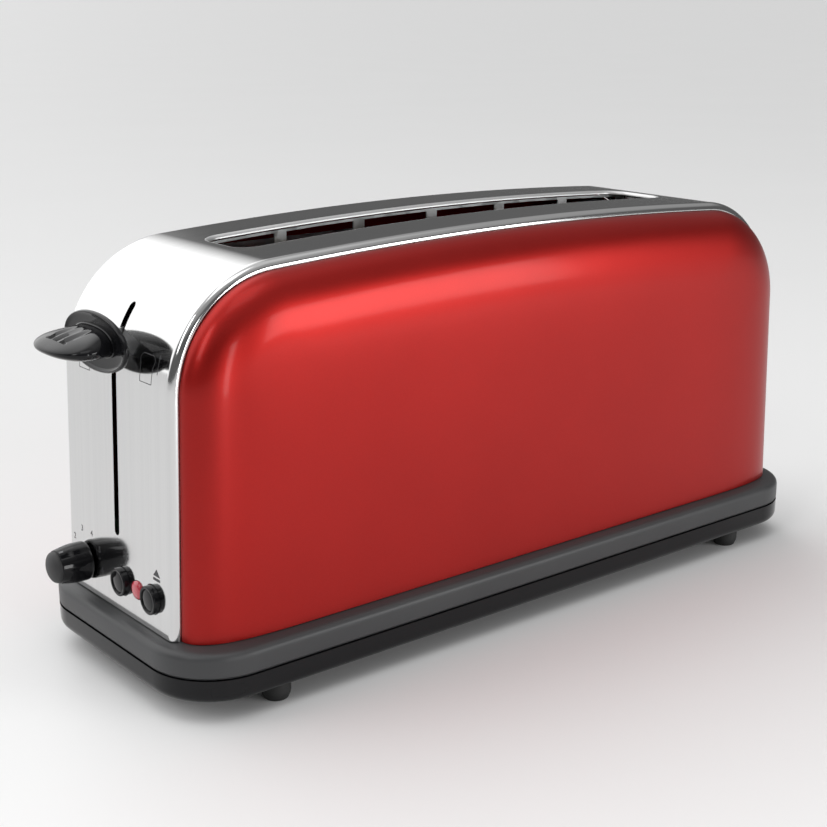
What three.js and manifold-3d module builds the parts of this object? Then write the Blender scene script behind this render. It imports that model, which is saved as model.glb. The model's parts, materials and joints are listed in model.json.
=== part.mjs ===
import * as THREE from 'three';
import { mergeVertices } from 'three/addons/utils/BufferGeometryUtils.js';
import Module from 'manifold-3d';

// Long-slot pop-up toaster, millimetres, +Z up, controls at -X, one long toast slot along X.
const wasm = await Module();
wasm.setup();

// ---- base ----
const baseLength = 420;
const baseWidth = 150;
const baseCornerRadius = 33;
const footHeight = 10;
const footRadius = 7;
const footInsetX = 52;            // foot centre in from the end of the base
const footInsetY = 12.5;          // foot centre in from the side of the base
const trayHeight = 11.2;
const trayWall = 2.5;
const trayFloor = 2;
const trayEdgeRound = 4;
const shadowGap = 0.6;            // groove between tray and plinth
const plinthHeight = 12.7;
const plinthWall = 3;
const plinthDeck = 2.8;
const ledgeWidth = 7;
const ledgeRise = 3.8;
const fitGap = 0.3;               // between pieces that rest on each other
const runGap = 0.4;               // between pieces that slide past each other

// ---- body ----
const endLedge = 6.7;             // plinth ledge in front of the body's ends
const sideLedge = 7.2;            // and beside its panels
const bodyHeight = 169.8;         // from the plinth deck to the crown of the top
const endLean = 0.038;            // inward lean of the ends, mm per mm of height
const shoulderRadius = 57;
const crownRadius = 2319;
const sheet = 1.5;
const lip = 4;                    // rounded side edge of the wrap
const panelBulge = 17.5;
const panelBorder = 22;
const panelSheet = 1.5;

// ---- toast slot and carriage ----
const slotHalfLength = 140.5;      // it takes one long slice or two short ones
const slotHalfWidth = 18.5;
const slotCorner = 10;
const slotFlangeDepth = 1.9;
const guideSheet = 0.8;
const guideRail = 1.2;
const guideLowerRail = 6;
const guideBar = 7;
const windowCount = 6;
const rackHalfWidth = 7;
const rackSheet = 1.2;
const rackDepth = 6;
const leverBelowCrown = 41;
const leverDrop = 87;
const leverLift = 10;
const leverSlotWidth = 4.4;
const leverArmThickness = 1.6;
const leverArmHeight = 9;
const knobReach = 34;             // lever knob tip in front of the end panel
const knobFlangeStandoff = 7.2;
const knobFlangeThickness = 2.4;
const knobFlangeRound = 0.8;
const knobFlangeWidth = 58;
const knobFlangeHeight = 27;
const paddleWidth = 50;
const paddleThickness = 14;
const sliderHeight = 12;
const rodRadius = 2.5;
const springTurns = 9;
const springWire = 1.2;
const springRadius = 4.1;

// ---- controls ----
const controlAboveDeck = 15.5;
const buttonRadius = 6.75;
const buttonProud = 3.1;
const buttonTravel = 1.5;
const frozenButtonY = -4.5;
const cancelButtonY = -32.3;
const lensRadius = 4.4;
const lensY = -18.6;
const lensProud = 1.8;
const browningY = 30.4;
const browningRadius = 9.5;
const browningNoseRadius = 7.9;
const browningProud = 19.5;
const spindleRadius = 3;
const boardThickness = 1.6;
const boardStandoff = 16.5;       // board face behind the end panel

// ---- chassis ----
const plateSheet = 1.2;
const endPlateSpare = 9.5;        // end plates stand clear of the slot's ends
const chassisInset = 6;           // chassis in from the wrap's side edges
const plateBelowCrown = 14.3;
const chassisOverhang = 28;
const heaterGap = 11;             // heater board beyond the slot's side
const heaterSheet = 1.2;
const shieldInset = 2;            // heat shield in from the chassis edge
const glandRadius = 8;
const glandAboveDeck = 15.5;
const glandY = -22;

// ---- heights and widths worked out from the sizes above ----
const trayTop = footHeight + trayHeight;
const plinthBottom = trayTop + shadowGap;
const deckTop = plinthBottom + plinthHeight;
const bodyBottom = deckTop + fitGap;
const crownTop = deckTop + bodyHeight;
const chassisBottom = deckTop + runGap;
const plateBottom = chassisBottom + plateSheet + fitGap;
const leverRestHeight = crownTop - leverBelowCrown;
const leverLow = leverRestHeight - leverDrop;
const leverHigh = leverRestHeight + leverLift;
const controlHeight = deckTop + controlAboveDeck;
const glandHeight = deckTop + glandAboveDeck;
const bodyHalfLength = baseLength / 2 - endLedge;   // at the foot of the body, before the ends lean in
const wrapHalfWidth = baseWidth / 2 - sideLedge - panelBulge - fitGap;
const endPlateX = slotHalfLength + endPlateSpare;
const chassisHalfWidth = wrapHalfWidth - chassisInset;
const heaterY = slotHalfWidth + heaterGap;
const shieldY = chassisHalfWidth - shieldInset;
const endSurfaceX = (z) => bodyHalfLength - endLean * (z - deckTop);
const originShift = (endSurfaceX(leverRestHeight) + knobReach - baseLength / 2) / 2;

const toaster = new THREE.Group();
toaster.name = 'toaster';
toaster.position.x = originShift;

const finishes = {
  polishedSteel: { color: 0xc8c8c6, metalness: 1, roughness: 0.18 },
  redLacquer: { color: 0xa01a18, metalness: 0.35, roughness: 0.25 },
  plinthPlastic: { color: 0x4a4b4d, metalness: 0, roughness: 0.5 },
  glossBlack: { color: 0x0c0c0d, metalness: 0, roughness: 0.15 },
  galvanised: { color: 0x9a9c9c, metalness: 0.9, roughness: 0.45 },
  mica: { color: 0xb9a888, metalness: 0, roughness: 0.6 },
  board: { color: 0x2e5b34, metalness: 0, roughness: 0.5 },
  copper: { color: 0xa4562b, metalness: 0.8, roughness: 0.4 },
  greyPlastic: { color: 0x77797c, metalness: 0, roughness: 0.55 },
  redLens: { color: 0xc02a3c, metalness: 0, roughness: 0.15 },
  rubber: { color: 0x161616, metalness: 0, roughness: 0.8 },
};

// ---- helpers: geometry to solid and back ----
function solid(geometry) {
  const bare = geometry.clone();
  bare.deleteAttribute('normal');
  bare.deleteAttribute('uv');
  const merged = mergeVertices(bare, 1e-4);
  return new wasm.Manifold(new wasm.Mesh({
    numProp: 3,
    vertProperties: new Float32Array(merged.attributes.position.array),
    triVerts: new Uint32Array(merged.index.array),
  }));
}

function add(name, shape, finish) {
  const mesh = shape.getMesh();
  const geometry = new THREE.BufferGeometry();
  geometry.setAttribute('position', new THREE.BufferAttribute(mesh.vertProperties, 3));
  geometry.setIndex(new THREE.BufferAttribute(mesh.triVerts, 1));
  geometry.computeVertexNormals();
  const piece = new THREE.Mesh(geometry, new THREE.MeshStandardMaterial(finishes[finish]));
  piece.name = name;
  toaster.add(piece);
}

function block([x0, x1], [y0, y1], [z0, z1]) {
  const geometry = new THREE.BoxGeometry(x1 - x0, y1 - y0, z1 - z0);
  geometry.translate((x0 + x1) / 2, (y0 + y1) / 2, (z0 + z1) / 2);
  return solid(geometry);
}

function rodAlongZ(radius, x, y, [z0, z1], sides = 24) {
  const geometry = new THREE.CylinderGeometry(radius, radius, z1 - z0, sides);
  geometry.rotateX(Math.PI / 2);
  geometry.translate(x, y, (z0 + z1) / 2);
  return solid(geometry);
}

function rodAlongX(radius, y, z, [x0, x1], sides = 24) {
  const geometry = new THREE.CylinderGeometry(radius, radius, x1 - x0, sides);
  geometry.rotateZ(Math.PI / 2);
  geometry.translate((x0 + x1) / 2, y, z);
  return solid(geometry);
}

// a turned piece whose axis runs outwards along -X from x = faceX
function turnedOutwards(outline, y, z, faceX, sides = 32) {
  const points = outline.map(([radius, out]) => new THREE.Vector2(radius, out));
  const geometry = new THREE.LatheGeometry(points, sides);
  geometry.rotateZ(Math.PI / 2);
  geometry.translate(faceX, y, z);
  return solid(geometry);
}

function roundedPlan(halfLength, halfWidth, radius) {
  const shape = new THREE.Shape();
  const corners = [[1, -1, -90], [1, 1, 0], [-1, 1, 90], [-1, -1, 180]];
  for (const [sx, sy, from] of corners) {
    const start = THREE.MathUtils.degToRad(from);
    const cx = sx * (halfLength - radius);
    const cy = sy * (halfWidth - radius);
    shape.absarc(cx, cy, radius, start, start + Math.PI / 2, false);
  }
  return shape;
}

function raised(shape, [z0, z1], options = {}) {
  const settings = { depth: z1 - z0, bevelEnabled: false, curveSegments: 5, ...options };
  const geometry = new THREE.ExtrudeGeometry(shape, settings);
  geometry.translate(0, 0, z0);
  return solid(geometry);
}

// side outline of the body in X and Z, moved inwards by inset and cut off at floorZ
function sideOutline(inset, floorZ) {
  const slope = Math.hypot(1, endLean);
  const along = new THREE.Vector2(endLean, 1).divideScalar(slope);
  const inward = new THREE.Vector2(1, -endLean).divideScalar(slope);
  const foot = new THREE.Vector2(-bodyHalfLength, deckTop);
  const crownCentre = new THREE.Vector2(0, crownTop - crownRadius);
  const start = foot.clone().addScaledVector(inward, shoulderRadius);
  const toStart = start.clone().sub(crownCentre);
  const b = toStart.dot(along);
  const c = toStart.lengthSq() - (crownRadius - shoulderRadius) ** 2;
  const t = -b + Math.sqrt(b * b - c);
  const centre = start.clone().addScaledVector(along, t);
  const radius = shoulderRadius - inset;
  const endAngle = Math.PI - Math.atan(endLean);
  const crownAngle = Math.atan2(centre.y - crownCentre.y, centre.x - crownCentre.x);
  const low = foot.clone().addScaledVector(inward, inset);
  const lowX = low.x + (floorZ - low.y) * endLean;
  const shape = new THREE.Shape();
  const steps = 9;
  const left = [];
  for (let i = 0; i <= steps; i += 1) {
    const angle = endAngle + (crownAngle - endAngle) * (i / steps);
    left.push([centre.x + radius * Math.cos(angle), centre.y + radius * Math.sin(angle)]);
  }
  const crown = [];
  const crownSteps = 8;
  for (let i = 1; i < crownSteps; i += 1) {
    const angle = crownAngle + (Math.PI - 2 * crownAngle) * (i / crownSteps);
    const r = crownRadius - inset;
    crown.push([crownCentre.x + r * Math.cos(angle), crownCentre.y + r * Math.sin(angle)]);
  }
  const right = left.map(([x, z]) => [-x, z]).reverse();
  const outline = [[lowX, floorZ], ...left, ...crown, ...right, [-lowX, floorZ]].reverse();
  outline.forEach(([x, z], i) => (i ? shape.lineTo(x, z) : shape.moveTo(x, z)));
  shape.closePath();
  return shape;
}

// the body's side outline stretched across Y, with its edges rounded over by roundDepth and roundSize
function bodySlab(inset, halfWidth, roundDepth, roundSize, segments) {
  const geometry = new THREE.ExtrudeGeometry(sideOutline(inset, -60), {
    depth: 2 * (halfWidth - roundDepth),
    bevelEnabled: roundDepth > 0,
    bevelThickness: roundDepth,
    bevelSize: roundSize,
    bevelOffset: -roundSize,
    bevelSegments: segments,
  });
  geometry.rotateX(Math.PI / 2);
  geometry.translate(0, halfWidth - roundDepth, 0);
  return solid(geometry);
}

const far = 400;
const everywhere = [-far, far];
const aboveDeck = block(everywhere, everywhere, [bodyBottom, far]);

// ---- base tray, plinth, feet and their screws ----
const footX = baseLength / 2 - footInsetX;
const footY = baseWidth / 2 - footInsetY;
const corners = [['front_left', -1, 1], ['front_right', -1, -1], ['rear_left', 1, 1], ['rear_right', 1, -1]];
const screwRadius = 1.5;
const screwHole = screwRadius + fitGap;
const screwHeadRadius = 3.5;
const screwHeadHeight = 2;
const counterboreRadius = 4;
const counterboreDepth = 4.2;
const screwTop = footHeight + 15;
const bossRadius = 4.5;
const underDeck = deckTop - plinthDeck;

const ventCount = 10;
const ventPitch = 24;
const ventLength = 16;
const ventWidth = 3;
const ventGap = 11;               // vent row beyond the crumb tray's side

const crumbHalfWidth = baseWidth / 2 - 36;
const windowHalfWidth = crumbHalfWidth - 3;       // window over the crumb tray in plinth and chassis base
const crumbBottom = footHeight + trayFloor + runGap;
const crumbTop = trayTop - 1.2;
const crumbSheet = 1;
const crumbFrontX = -slotHalfLength + 10.5;
const crumbFace = 3.5;
const crumbGripHalfWidth = 15;

function screwHoles(zRange, radius) {
  return corners.map(([, sx, sy]) => rodAlongZ(radius, sx * footX, sy * footY, zRange));
}

function buildBaseTray() {
  const plan = roundedPlan(baseLength / 2, baseWidth / 2, baseCornerRadius);
  let tray = raised(plan, [footHeight + trayEdgeRound, trayTop + trayEdgeRound], {
    bevelEnabled: true,
    bevelThickness: trayEdgeRound,
    bevelSize: trayEdgeRound,
    bevelOffset: -trayEdgeRound,
    bevelSegments: 3,
  });
  tray = tray.subtract(block(everywhere, everywhere, [trayTop, far]));
  const inner = roundedPlan(baseLength / 2 - trayWall, baseWidth / 2 - trayWall, baseCornerRadius - trayWall);
  tray = tray.subtract(raised(inner, [footHeight + trayFloor, far]));
  const mouth = crumbHalfWidth + runGap;
  tray = tray.subtract(block([0, far], [-mouth, mouth], [footHeight + trayFloor, crumbTop + runGap]));
  screwHoles([0, far], screwHole).forEach((hole) => { tray = tray.subtract(hole); });
  for (const side of [1, -1]) {
    for (let i = 0; i < ventCount; i += 1) {
      const x = (i - (ventCount - 1) / 2) * ventPitch;
      const y = side * (crumbHalfWidth + ventGap);
      const vent = [[x - ventLength / 2, x + ventLength / 2], [y - ventWidth / 2, y + ventWidth / 2]];
      tray = tray.subtract(block(...vent, [0, trayTop - 5]));
    }
  }
  add('base_tray', tray, 'glossBlack');
}

function buildPlinth() {
  const plan = roundedPlan(baseLength / 2, baseWidth / 2, baseCornerRadius);
  let plinth = raised(plan, [0, deckTop - ledgeRise], {
    bevelEnabled: true,
    bevelThickness: ledgeRise,
    bevelSize: ledgeWidth,
    bevelOffset: -ledgeWidth,
    bevelSegments: 4,
  });
  plinth = plinth.subtract(block(everywhere, everywhere, [-far, plinthBottom]));
  const inner = roundedPlan(
    baseLength / 2 - plinthWall, baseWidth / 2 - plinthWall, baseCornerRadius - plinthWall);
  plinth = plinth.subtract(raised(inner, [0, underDeck]));
  for (const [, sx, sy] of corners) {
    const bossZ = [footHeight + trayFloor + fitGap, underDeck + 0.5];
    plinth = plinth.add(rodAlongZ(bossRadius, sx * footX, sy * footY, bossZ));
  }
  const windowX = endPlateX - 5;
  plinth = plinth.subtract(block([-windowX, windowX], [-windowHalfWidth, windowHalfWidth], [0, far]));
  screwHoles([0, screwTop + 1], screwHole).forEach((hole) => { plinth = plinth.subtract(hole); });
  add('plinth', plinth, 'plinthPlastic');
}

function buildFeet() {
  for (const [name, sx, sy] of corners) {
    const x = sx * footX;
    const y = sy * footY;
    const foot = rodAlongZ(footRadius, x, y, [0, footHeight - fitGap], 28)
      .subtract(rodAlongZ(counterboreRadius, x, y, [-1, counterboreDepth]))
      .subtract(rodAlongZ(screwHole, x, y, [0, far]));
    add(`foot_${name}`, foot, 'rubber');
    const headTop = counterboreDepth - fitGap;
    const screw = rodAlongZ(screwHeadRadius, x, y, [headTop - screwHeadHeight, headTop])
      .add(rodAlongZ(screwRadius, x, y, [headTop - 0.5, screwTop], 12));
    add(`base_screw_${name}`, screw, 'galvanised');
  }
}

function buildCrumbTray() {
  const rearX = baseLength / 2 - 0.6;
  const outer = block([crumbFrontX, rearX], [-crumbHalfWidth, crumbHalfWidth], [crumbBottom, crumbTop]);
  const inner = block(
    [crumbFrontX + crumbSheet, rearX - crumbFace],
    [-crumbHalfWidth + crumbSheet, crumbHalfWidth - crumbSheet],
    [crumbBottom + crumbSheet, far]);
  const grip = block(
    [rearX - crumbFace / 2, far],
    [-crumbGripHalfWidth, crumbGripHalfWidth],
    [crumbBottom + 2.2, crumbTop - 2.2]);
  add('crumb_tray', outer.subtract(inner).subtract(grip), 'glossBlack');
}

// ---- outer shells ----
const controlFaceX = -endSurfaceX(controlHeight);
const leverFaceX = -endSurfaceX(leverRestHeight);
const buttonHole = buttonRadius + runGap;
const lensHole = lensRadius + fitGap;
const spindleHole = spindleRadius + 1.5;
const leverSlotBottom = leverLow - leverArmHeight / 2 - 0.8;
const leverSlotTop = leverHigh + leverArmHeight / 2 + 0.8;
const glandNeck = glandRadius - 2.2;
const glandBore = glandRadius - 4.4;

function leverSlotCutter() {
  const half = leverSlotWidth / 2;
  const cut = [controlFaceX - 20, leverFaceX + 20];
  return block(cut, [-half, half], [leverSlotBottom + half, leverSlotTop - half])
    .add(rodAlongX(half, 0, leverSlotBottom + half, cut, 16))
    .add(rodAlongX(half, 0, leverSlotTop - half, cut, 16));
}

function buildWrap() {
  const outer = bodySlab(0, wrapHalfWidth, lip, lip, 3);
  const inner = bodySlab(sheet, wrapHalfWidth + 0.4, lip + 0.4, lip, 3);
  let wrap = outer.subtract(inner);
  const mouth = roundedPlan(slotHalfLength, slotHalfWidth, slotCorner);
  const rim = roundedPlan(slotHalfLength + sheet, slotHalfWidth + sheet, slotCorner + sheet);
  const underCrown = bodySlab(slotFlangeDepth, wrapHalfWidth, 0, 0, 0);
  const flange = outer.subtract(underCrown).intersect(raised(rim, [deckTop, far]));
  wrap = wrap.add(flange).subtract(raised(mouth, [deckTop, far]));
  const front = [controlFaceX - 20, controlFaceX + 20];
  wrap = wrap.intersect(aboveDeck)
    .subtract(leverSlotCutter())
    .subtract(rodAlongX(spindleHole, browningY, controlHeight, front))
    .subtract(rodAlongX(buttonHole, frozenButtonY, controlHeight, front, 32))
    .subtract(rodAlongX(buttonHole, cancelButtonY, controlHeight, front, 32))
    .subtract(rodAlongX(lensHole, lensY, controlHeight, front))
    .subtract(rodAlongX(glandNeck + fitGap, glandY, glandHeight, [-front[1], -front[0]]));
  add('steel_wrap', wrap, 'polishedSteel');
}

function buildSidePanels() {
  const inset = lip + 0.2;
  const start = wrapHalfWidth + fitGap;
  const outer = bodySlab(inset, start + panelBulge, panelBulge, panelBorder, 7);
  const inner = bodySlab(
    inset + panelSheet, start + panelBulge - panelSheet, panelBulge - panelSheet, panelBorder, 7);
  const shell = outer.subtract(inner).intersect(aboveDeck);
  add('side_panel_left', shell.intersect(block(everywhere, [start, far], everywhere)), 'redLacquer');
  add('side_panel_right', shell.intersect(block(everywhere, [-far, -start], everywhere)), 'redLacquer');
}

// ---- chassis ----
const plateTop = crownTop - plateBelowCrown;
const rackBottom = leverRestHeight - 30;
const rackTop = rackBottom + rackDepth;
const neckHalf = 1;
const neckTop = rackBottom + 20;
const slotClear = 1.5;            // beside the rack's neck and tail in the end plates
const guideBottom = deckTop + 12.5;
const guideTabZ = [[guideBottom + 2, guideBottom + 6], [plateTop - 7, plateTop - 3]];
const guideOuterY = slotHalfWidth - 0.3;
const guideInnerY = guideOuterY - guideSheet;
const guideTravelIn = 8;
const guideTravelOut = 1;
const rearPlateX = [endPlateX, endPlateX + plateSheet];
const frontPlateX = [-endPlateX - plateSheet, -endPlateX];

function buildChassisPlates() {
  const half = endPlateX + chassisOverhang;
  const basePlate = block([-half, half], [-chassisHalfWidth, chassisHalfWidth],
    [chassisBottom, chassisBottom + plateSheet])
    .subtract(block([-endPlateX + 7, endPlateX - 7], [-windowHalfWidth, windowHalfWidth], [0, far]))
    .subtract(rodAlongZ(rodRadius + fitGap, rodX, rodY, [0, far]));
  add('chassis_base', basePlate, 'galvanised');
  const topPlate = block([-endPlateX - plateSheet, endPlateX + plateSheet],
    [-chassisHalfWidth, chassisHalfWidth], [plateTop + fitGap, plateTop + fitGap + plateSheet])
    .subtract(block([-endPlateX + 1.5, endPlateX - 1.5], [-slotHalfWidth - 3, slotHalfWidth + 3], [0, far]));
  add('chassis_top', topPlate, 'galvanised');
}

function buildEndPlate(name, xRange, slotTop) {
  let plate = block(xRange, [-chassisHalfWidth, chassisHalfWidth], [plateBottom, plateTop]);
  const slotHalf = neckHalf + slotClear;
  const slotZ = [rackBottom - leverDrop - slotClear, slotTop + leverLift + slotClear];
  plate = plate.subtract(block(everywhere, [-slotHalf, slotHalf], slotZ));
  for (const side of [1, -1]) {
    for (const [z0, z1] of guideTabZ) {
      const ys = [guideInnerY - guideTravelIn - 0.6, guideOuterY + guideTravelOut + 0.6].map((y) => side * y);
      plate = plate.subtract(block(everywhere, ys.sort((a, b) => a - b), [z0 - 0.6, z1 + 0.6]));
    }
  }
  add(name, plate, 'galvanised');
}

function buildHeatersAndShields() {
  for (const [side, sign] of [['left', 1], ['right', -1]]) {
    const between = [-endPlateX + fitGap, endPlateX - fitGap];
    const boardY = [sign * heaterY, sign * (heaterY + heaterSheet)].sort((a, b) => a - b);
    add(`heater_board_${side}`, block(between, boardY, [guideBottom + 3, plateTop - 3]), 'mica');
    const shieldYs = [sign * shieldY, sign * (shieldY + 0.8)].sort((a, b) => a - b);
    add(`heat_shield_${side}`, block(between, shieldYs, [plateBottom, plateTop - fitGap]), 'galvanised');
  }
}

function buildGuides() {
  const railInset = slotFlangeDepth + 0.4;
  const windowInset = railInset + guideRail;
  const halfLength = endPlateX - 3;
  const tabEnd = endPlateX + plateSheet + 2;
  const pitch = (2 * slotHalfLength + guideBar) / windowCount;
  const arched = (inset, width) => bodySlab(inset, width, 0, 0, 0);
  for (const [side, sign] of [['left', 1], ['right', -1]]) {
    const ys = [sign * guideInnerY, sign * guideOuterY].sort((a, b) => a - b);
    let guide = arched(railInset, wrapHalfWidth)
      .intersect(block([-halfLength, halfLength], ys, [guideBottom, far]));
    for (let i = 0; i < windowCount; i += 1) {
      const centre = (i - (windowCount - 1) / 2) * pitch;
      const open = (pitch - guideBar) / 2;
      const pane = block([centre - open, centre + open], everywhere, [guideBottom + guideLowerRail, far])
        .intersect(arched(windowInset, wrapHalfWidth));
      guide = guide.subtract(pane);
    }
    for (const tabZ of guideTabZ) {
      guide = guide.add(block([-tabEnd, -halfLength + 1], ys, tabZ));
      guide = guide.add(block([halfLength - 1, tabEnd], ys, tabZ));
    }
    add(`bread_guide_${side}`, guide, 'galvanised');
  }
}

// ---- carriage, lever, rod and spring ----
const sliderX = [-endPlateX - 20, -endPlateX - 8];
const sliderY = [-24, 20];
const sliderBottom = leverRestHeight - 20.3;
const rodX = (sliderX[0] + sliderX[1]) / 2;
const rodY = 13;
const magnetY = -16;
const keeperSheet = 1.5;
const magnetTop = sliderBottom - leverDrop - keeperSheet - fitGap - 0.4;
const bracketZ = plateTop - 12;

function buildRack() {
  const half = endPlateX - 7;
  const wall = rackHalfWidth - rackSheet;
  let rack = block([-half, half], [-rackHalfWidth, rackHalfWidth], [rackBottom, rackTop])
    .subtract(block([-half - 1, half + 1], [-wall, wall], [rackBottom + rackSheet, far]));
  const holeCount = 9;
  for (let i = 0; i < holeCount; i += 1) {
    const x = (i - (holeCount - 1) / 2) * (2 * half / holeCount);
    rack = rack.subtract(block([x - 9, x + 9], [-3.5, 3.5], [0, far]));
  }
  rack = rack
    .add(block([sliderX[1] + fitGap, -half + 4], [-neckHalf, neckHalf], [rackBottom, neckTop]))
    .add(block([half - 4, endPlateX + plateSheet + 3], [-neckHalf, neckHalf], [rackBottom, rackTop]));
  add('bread_rack', rack, 'galvanised');
}

function buildSlider() {
  const slider = block(sliderX, sliderY, [sliderBottom, sliderBottom + sliderHeight])
    .subtract(rodAlongZ(rodRadius + fitGap, rodX, rodY, [0, far]));
  add('carriage_slider', slider, 'greyPlastic');
  const keeperZ = [sliderBottom - fitGap - keeperSheet, sliderBottom - fitGap];
  add('keeper_plate', block(sliderX, [magnetY - 8, magnetY + 8], keeperZ), 'galvanised');
}

const knobBackX = leverFaceX - knobFlangeStandoff;
const knobFrontX = knobBackX - knobFlangeThickness;
const knobTipX = leverFaceX - knobReach;
const armTipX = knobFrontX - 3;
const leverArmZ = [leverRestHeight - leverArmHeight / 2, leverRestHeight + leverArmHeight / 2];

function buildLever() {
  const half = leverArmThickness / 2;
  const rootX = sliderX[0] - fitGap;
  const arm = block([rootX - 6, rootX], [-half, half], [sliderBottom, leverArmZ[1]])
    .add(block([armTipX, rootX], [-half, half], leverArmZ));
  add('lever_arm', arm, 'galvanised');

  const oval = new THREE.Shape();
  oval.absellipse(0, 0, knobFlangeWidth / 2, knobFlangeHeight / 2, 0, 2 * Math.PI, false, 0);
  const flangeGeometry = new THREE.ExtrudeGeometry(oval, {
    depth: knobFlangeThickness - 2 * knobFlangeRound,
    bevelEnabled: true,
    bevelThickness: knobFlangeRound,
    bevelSize: knobFlangeRound,
    bevelOffset: -knobFlangeRound,
    bevelSegments: 2,
    curveSegments: 20,
  });
  flangeGeometry.rotateX(Math.PI / 2);
  flangeGeometry.rotateZ(Math.PI / 2);
  flangeGeometry.translate(knobFrontX + knobFlangeRound, 0, leverRestHeight);
  const paddleGeometry = new THREE.SphereGeometry(1, 28, 16);
  paddleGeometry.scale(knobFrontX + 1 - knobTipX, paddleWidth / 2, paddleThickness / 2);
  paddleGeometry.translate(knobFrontX + 1, 0, leverRestHeight);
  const paddle = solid(paddleGeometry).intersect(block([-far, knobFrontX + 1], everywhere, everywhere));
  const socketHalf = half + fitGap;
  const socket = block([armTipX - fitGap, 0], [-socketHalf, socketHalf],
    [leverArmZ[0] - fitGap, leverArmZ[1] + fitGap]);
  add('lever_knob', solid(flangeGeometry).add(paddle).subtract(socket), 'glossBlack');
}

class Helix extends THREE.Curve {
  constructor(radius, [z0, z1], turns) {
    super();
    Object.assign(this, { radius, z0, z1, turns });
  }

  getPoint(t, target = new THREE.Vector3()) {
    const angle = 2 * Math.PI * this.turns * t;
    const z = this.z0 + (this.z1 - this.z0) * t;
    return target.set(this.radius * Math.cos(angle), this.radius * Math.sin(angle), z);
  }
}

function buildRodAndSpring() {
  const rodTop = bracketZ + 4;
  add('guide_rod', rodAlongZ(rodRadius, rodX, rodY, [chassisBottom, rodTop]), 'polishedSteel');
  const bracket = block([rodX - 6, frontPlateX[0] - fitGap], [rodY - 9, rodY + 9], [bracketZ, bracketZ + 1.5])
    .add(block([frontPlateX[0] - fitGap - 1.5, frontPlateX[0] - fitGap], [rodY - 9, rodY + 9],
      [bracketZ - 9, bracketZ + 1]))
    .subtract(rodAlongZ(rodRadius + fitGap, rodX, rodY, [0, far]));
  add('rod_bracket', bracket, 'galvanised');
  const wire = new THREE.Shape();
  wire.absarc(0, 0, springWire / 2, 0, 2 * Math.PI, false);
  const ends = [plateBottom + springWire / 2, sliderBottom - fitGap - springWire / 2];
  const coil = new THREE.ExtrudeGeometry(wire, {
    extrudePath: new Helix(springRadius, ends, springTurns),
    steps: springTurns * 12,
    curveSegments: 3,
  });
  coil.translate(rodX, rodY, 0);
  add('return_spring', solid(coil), 'polishedSteel');
}

function buildLatch() {
  const coreHalf = 3.5;
  const coilHalf = 7;
  const z = [plateBottom, magnetTop];
  const core = block([rodX - coreHalf, rodX + coreHalf], [magnetY - coreHalf, magnetY + coreHalf], z);
  add('latch_core', core, 'galvanised');
  const hole = coreHalf + fitGap;
  const coil = block([rodX - coilHalf, rodX + coilHalf], [magnetY - coilHalf, magnetY + coilHalf],
    [z[0], z[1] - 2])
    .subtract(block([rodX - hole, rodX + hole], [magnetY - hole, magnetY + hole], [0, far]));
  add('latch_coil', coil, 'copper');
}

// ---- control board and what is on it ----
const boardX = [controlFaceX + boardStandoff, controlFaceX + boardStandoff + boardThickness];
const partBackX = boardX[0] - fitGap;

function buildControls() {
  add('control_board', block(boardX, [-shieldY, shieldY], [plateBottom + 1, leverSlotBottom - 4]), 'board');

  const potLength = 7;
  const potFrontX = partBackX - potLength;
  const pot = rodAlongX(8.5, browningY, controlHeight, [potFrontX, partBackX])
    .subtract(rodAlongX(spindleRadius + fitGap, browningY, controlHeight, [potFrontX - 1, partBackX - 2]));
  add('potentiometer', pot, 'greyPlastic');
  const knobBack = controlFaceX - 0.8;
  const socketDepth = 12;
  add('browning_spindle', rodAlongX(spindleRadius, browningY, controlHeight,
    [knobBack - socketDepth + fitGap, partBackX - 2 - fitGap]), 'greyPlastic');
  const noseStart = browningProud - 4.5;
  const outline = [
    [0, 0], [browningRadius - 0.4, 0], [browningRadius, 0.6], [browningRadius, browningProud * 0.55],
    [browningNoseRadius, noseStart], [browningNoseRadius * 0.9, browningProud - 2.2],
    [browningNoseRadius * 0.62, browningProud - 0.8], [browningNoseRadius * 0.3, browningProud - 0.1],
    [0, browningProud],
  ];
  const knob = turnedOutwards(outline, browningY, controlHeight, knobBack)
    .subtract(rodAlongX(spindleRadius + fitGap, browningY, controlHeight,
      [knobBack - socketDepth, knobBack + 1]));
  add('browning_knob', knob, 'glossBlack');

  const switchHeight = 3.7;
  const stemEnd = controlFaceX - (partBackX - switchHeight) + fitGap + buttonTravel;
  for (const [name, y] of [['frozen', frozenButtonY], ['cancel', cancelButtonY]]) {
    add(`${name}_switch`, block([partBackX - switchHeight, partBackX], [y - 3, y + 3],
      [controlHeight - 3, controlHeight + 3]), 'rubber');
    const flangeOut = -sheet - 1.2;
    const buttonOutline = [
      [0, stemEnd], [2.5, stemEnd], [2.5, flangeOut - 1.5], [buttonRadius + 1, flangeOut - 1.5],
      [buttonRadius + 1, flangeOut], [buttonRadius, flangeOut], [buttonRadius, buttonProud - 1],
      [buttonRadius - 0.9, buttonProud], [buttonRadius - 1.9, buttonProud - 0.2],
      [buttonRadius - 2.4, buttonProud - 0.7], [buttonRadius - 4.4, buttonProud - 0.35],
      [0, buttonProud - 0.2],
    ];
    add(`${name}_button`, turnedOutwards(buttonOutline, y, controlHeight, controlFaceX), 'glossBlack');
  }

  const lensOutline = [
    [0, -7], [lensRadius, -7], [lensRadius, lensProud - 1.4], [lensRadius * 0.85, lensProud - 0.6],
    [lensRadius * 0.5, lensProud - 0.1], [0, lensProud],
  ];
  add('indicator_lens', turnedOutwards(lensOutline, lensY, controlHeight, controlFaceX, 24), 'redLens');
  add('indicator_lamp', rodAlongX(1.5, lensY, controlHeight, [partBackX - 5, partBackX], 16), 'redLens');
}

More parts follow.
